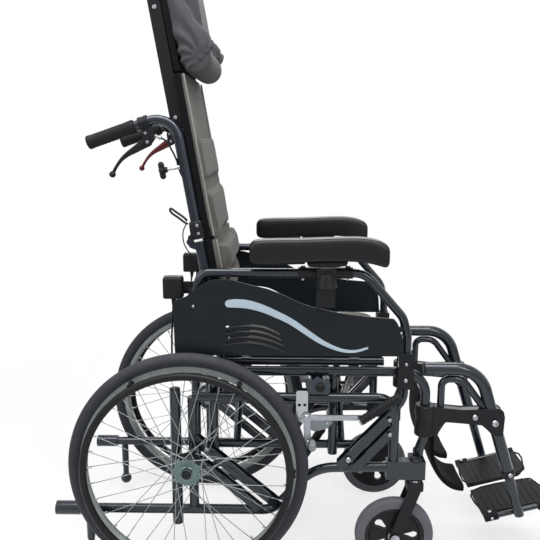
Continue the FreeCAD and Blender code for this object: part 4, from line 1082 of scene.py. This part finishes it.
def rounded_block(frame_of, round_to):
    """A closed block with rounded edges, from a corner and three edge vectors in metres."""
    origin, along_u, along_v, along_w = frame_of
    work = bmesh.new()
    bmesh.ops.create_cube(work, size=1.0)
    bmesh.ops.subdivide_edges(work, edges=work.edges[:], cuts=7, use_grid_fill=True)
    sizes = Vector((along_u.length, along_v.length, along_w.length))
    unit = (along_u.normalized(), along_v.normalized(), along_w.normalized())
    middle = origin + (along_u + along_v + along_w) / 2
    for vert in work.verts:
        place = Vector([vert.co[i] * sizes[i] for i in range(3)])
        inner = Vector([max(-sizes[i] / 2 + round_to, min(sizes[i] / 2 - round_to, place[i])) for i in range(3)])
        out = place - inner
        if out.length > 1e-9:
            place = inner + out.normalized() * round_to
        vert.co = middle + unit[0] * place.x + unit[1] * place.y + unit[2] * place.z
    work.verts.index_update()
    points = [v.co.copy() for v in work.verts]
    faces = [tuple(v.index for v in f.verts) for f in work.faces]
    work.free()
    return points, faces


def blown(name, shape, finish, body, voxel, cap, slack=0.0, air=4.0):
    """A sewn cover blown up over its filling: the closed shape is remeshed, and the cloth solver puffs it."""
    piece = add_piece(name, shape, finish, body, sharp=180)
    piece.parent = None
    remesh = piece.modifiers.new("remesh", "REMESH")
    remesh.mode = "VOXEL"
    remesh.voxel_size = voxel * MM
    graph = bpy.context.evaluated_depsgraph_get()
    fine = bpy.data.meshes.new_from_object(piece.evaluated_get(graph))
    piece.modifiers.clear()
    piece.data = fine
    rest = np.array([v.co for v in fine.vertices], float).reshape(-1, 3)
    cloth = piece.modifiers.new("cover", "CLOTH")
    settings = cloth.settings
    settings.quality = 5
    settings.mass = 0.3
    settings.tension_stiffness = settings.compression_stiffness = 15
    settings.bending_stiffness = 0.5
    settings.use_pressure = True
    settings.uniform_pressure_force = air
    settings.shrink_min = -slack
    settings.effector_weights.gravity = 0
    cloth.collision_settings.use_collision = False
    for step in range(1, 21):
        scene.frame_set(step)
    graph = bpy.context.evaluated_depsgraph_get()
    held = piece.evaluated_get(graph)
    puffed = np.array([v.co for v in held.data.vertices], float).reshape(-1, 3)
    piece.modifiers.clear()
    scene.frame_set(1)
    move = puffed - rest
    reach = np.linalg.norm(move, axis=1, keepdims=True)
    move *= np.minimum(1.0, cap * MM / np.maximum(reach, 1e-9))
    fine.vertices.foreach_set("co", (rest + move).astype(np.float32).ravel())
    fine.update()
    fine.materials.clear()
    fine.materials.append(finish)
    fine.shade_smooth()
    finer = piece.modifiers.new("finer", "SUBSURF")
    finer.levels = finer.render_levels = 1
    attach(piece, body)
    return piece


def gather(piece, centre, count, depth):
    """Soft folds that fan out over a cover from the point where it is drawn in."""
    mesh = piece.data
    out = [vert.normal.copy() for vert in mesh.vertices]
    for vert, ahead in zip(mesh.vertices, out):
        away = vert.co - centre
        turn = math.atan2(away.dot(BACK_UP), away.dot(BACK_OUT))
        reach = away.length / 0.2
        wave = math.sin(count * turn + 2.6 * math.sin(5.0 * reach + 1.3 * vert.co.y / 0.02))
        fade = min(1.0, reach * 4.0) * max(0.0, 1.15 - reach)
        vert.co += ahead * depth * MM * wave * fade
    mesh.update()


def back_block(offset0, offset1, along0, along1, half, round_to):
    origin = on_back(offset0, along0, -half)
    return rounded_block((origin, BACK_OUT * (offset1 - offset0) * MM, Vector((0, 2 * half * MM, 0)),
                          BACK_UP * (along1 - along0) * MM), round_to * MM)


# Back upholstery: a black sling panel laced between the tubes, a grey boxing in front of it, and
# channelled cushions that are sewn down between, with cord along both sides.
BACK_HALF = 182.0
CHANNELS = [("back_R", "upper", -12, 126, 47), ("back_R", "upper", 128, 259, 43),
            ("back_R", "upper", 261, 400, 38),
            ("seat_R", "lower", -100, -16, 64), ("seat_R", "lower", -163, -102, 56)]
HEM_HALF = 149.5
for body, part, along0, along1, seam in (("back_R", "upper", 2, 403, 38), ("seat_R", "lower", -164, -2, 43)):
    sling = add_piece("back_sling_" + part, back_block(13, 31, along0, along1, 180, 2.5), black_cloth, body,
                      sharp=60)
    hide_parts("back_pad_" + part)
    crumple(sling)
    hem = add_piece("back_hem_" + part, back_block(3, 14, along0, along1, HEM_HALF, 2.5), black_cloth, body,
                    sharp=60)
    crumple(hem)
    boxing = add_piece("back_boxing_" + part, back_block(30, seam, along0, along1, 181, 3.5), grey_cloth, body,
                       sharp=60, smooth=1)
    crumple(boxing)
    for rail, y in (("near", -179.5), ("far", 179.5)):
        cord = [on_back(seam + 0.5, along0 + 4 + (along1 - along0 - 8) * k / 24, y) for k in range(25)]
        piping = add_piece("back_piping_" + part + "_" + rail, pipe(cord, 2.4, 10), pale_cord, body)
        crumple(piping)
for number, (body, part, along0, along1, front) in enumerate(CHANNELS):
    shape = back_block(31, front - 3, along0 + 3, along1 - 3, BACK_HALF - 6, 5)
    cushion = blown("back_channel_" + str(number + 1), shape, grey_cloth, body, 5, 8)
    crumple(cushion)

# Headrest: a flat middle pad between two gathered side wings, and a firm neck roll below them, all in
# the same stretch cloth.
middle_pad = blown("head_pad", back_block(20, 88, 420, 636, 118, 16), head_cloth, "ext_R", 6, 8)
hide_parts("headrest")
crumple(middle_pad)
WING = [(48, 413), (62, 411), (80, 419), (100, 435), (114, 452), (116, 470), (101, 500), (84, 532), (72, 565),
        (67, 600), (59, 628), (42, 638), (28, 636), (26, 590), (28, 530), (32, 480), (38, 436)]
head_back = add_piece("head_back_panel", back_block(13.2, 30, 408, 639, 163, 3), black_cloth, "ext_R",
                      sharp=60)
crumple(head_back)
head_hem = add_piece("head_hem", back_block(3, 14, 405, 630, HEM_HALF, 2.5), black_cloth, "ext_R",
                     sharp=60)
crumple(head_hem)
for label, y0, y1 in (("near", -163, -112), ("far", 112, 163)):
    outline = [(p.x / MM - AXLE_X / MM, p.z / MM) for p in
               through([on_back(o - 3, s, 0) for o, s in WING], 3)]
    points, faces = sheet_shape(outline, [], y0 + 4, y1 - 4)
    wing = blown("head_wing_" + label, (points, faces), head_cloth, "ext_R", 5, 9, slack=0.06)
    gather(wing, on_back(84, 428, (y0 + y1) / 2), 13, 4.4)
    crumple(wing)
profile = [(0, -158), (24, -158), (32, -154), (36, -146), (37.5, -130), (38, -60), (38, 60), (37.5, 130),
           (36, 146), (32, 154), (24, 158), (0, 158)]
roll = add_piece("neck_roll", turned(profile, on_back(71, 429, 0), (0, 1, 0), 40), head_cloth, "ext_R",
                 sharp=70, smooth=1)
crumple(roll)

# Seat: a black sling stretched between the two rails, and a grey foam cushion on it.
low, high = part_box("seat_cushion")
shape = rounded_block((low + Vector((0.007, 0.007, 0.003)), Vector((high.x - low.x - 0.014, 0, 0)),
                       Vector((0, high.y - low.y - 0.014, 0)), Vector((0, 0, high.z - low.z - 0.027))), 0.014)
cushion = blown("seat_cushion_cover", shape, grey_cloth, "rail_R", 7, 9)
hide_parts("seat_cushion")
crumple(cushion)
low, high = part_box("seat_sling")
count_x, count_y = 40, 40
sag_rows = []
for i in range(count_x + 1):
    x = low.x + (high.x - low.x) * i / count_x
    row = []
    for k in range(count_y + 1):
        share = k / count_y
        y = low.y + (high.y - low.y) * share
        sag = 3.0 * MM * math.sin(math.pi * share) ** 0.5
        row.append(Vector((x, y, low.z + 0.0012 - sag)))
    sag_rows.append(row)
points = [p for row in sag_rows for p in row]
faces = []
for i in range(count_x):
    for k in range(count_y):
        a = i * (count_y + 1) + k
        faces.append((a, a + 1, a + count_y + 2, a + count_y + 1))
sling = add_piece("seat_sling_cloth", (points, faces), black_cloth, "rail_R")
thicken = sling.modifiers.new("thickness", "SOLIDIFY")
thicken.thickness = 0.0022
thicken.offset = 0
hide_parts("seat_sling")
crumple(sling)

# Calf straps: broad padded black webbing that hangs from the latch arms and curves forward under the
# sitter's heels.
STRAP_LINE = [(642, 402), (637, 366), (636, 330), (640, 292), (652, 258), (672, 230), (698, 212), (726, 208)]
for side, way in SIDES:
    line = through([(x, 0, z) for x, z in STRAP_LINE], 5)
    rings = []
    for i, p in enumerate(line):
        ahead = (line[min(i + 1, len(line) - 1)] - line[max(i - 1, 0)]).normalized()
        out = Vector((-ahead.z, 0, ahead.x))
        thick = 6.5 + 5.0 * max(0.0, (i - 18) / (len(line) - 18))
        ring = []
        for k in range(36):
            a = 2 * math.pi * k / 36
            c, s = math.cos(a), math.sin(a)
            wide = 68.0 * math.copysign(abs(c) ** 0.28, c)
            deep = thick * math.copysign(abs(s) ** 0.6, s)
            sag = 3.0 * math.cos(math.pi * wide / 140)
            ring.append(at(p.x + out.x * deep - sag, way * (95.5 + wide), p.z + out.z * deep))
        rings.append(ring)
    strap = add_piece("calf_band_" + side, rings_between(rings), black_cloth, "hanger_" + side,
                      sharp=60, smooth=1)
    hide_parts("calf_strap_" + side)
    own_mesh(strap)

low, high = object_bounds()
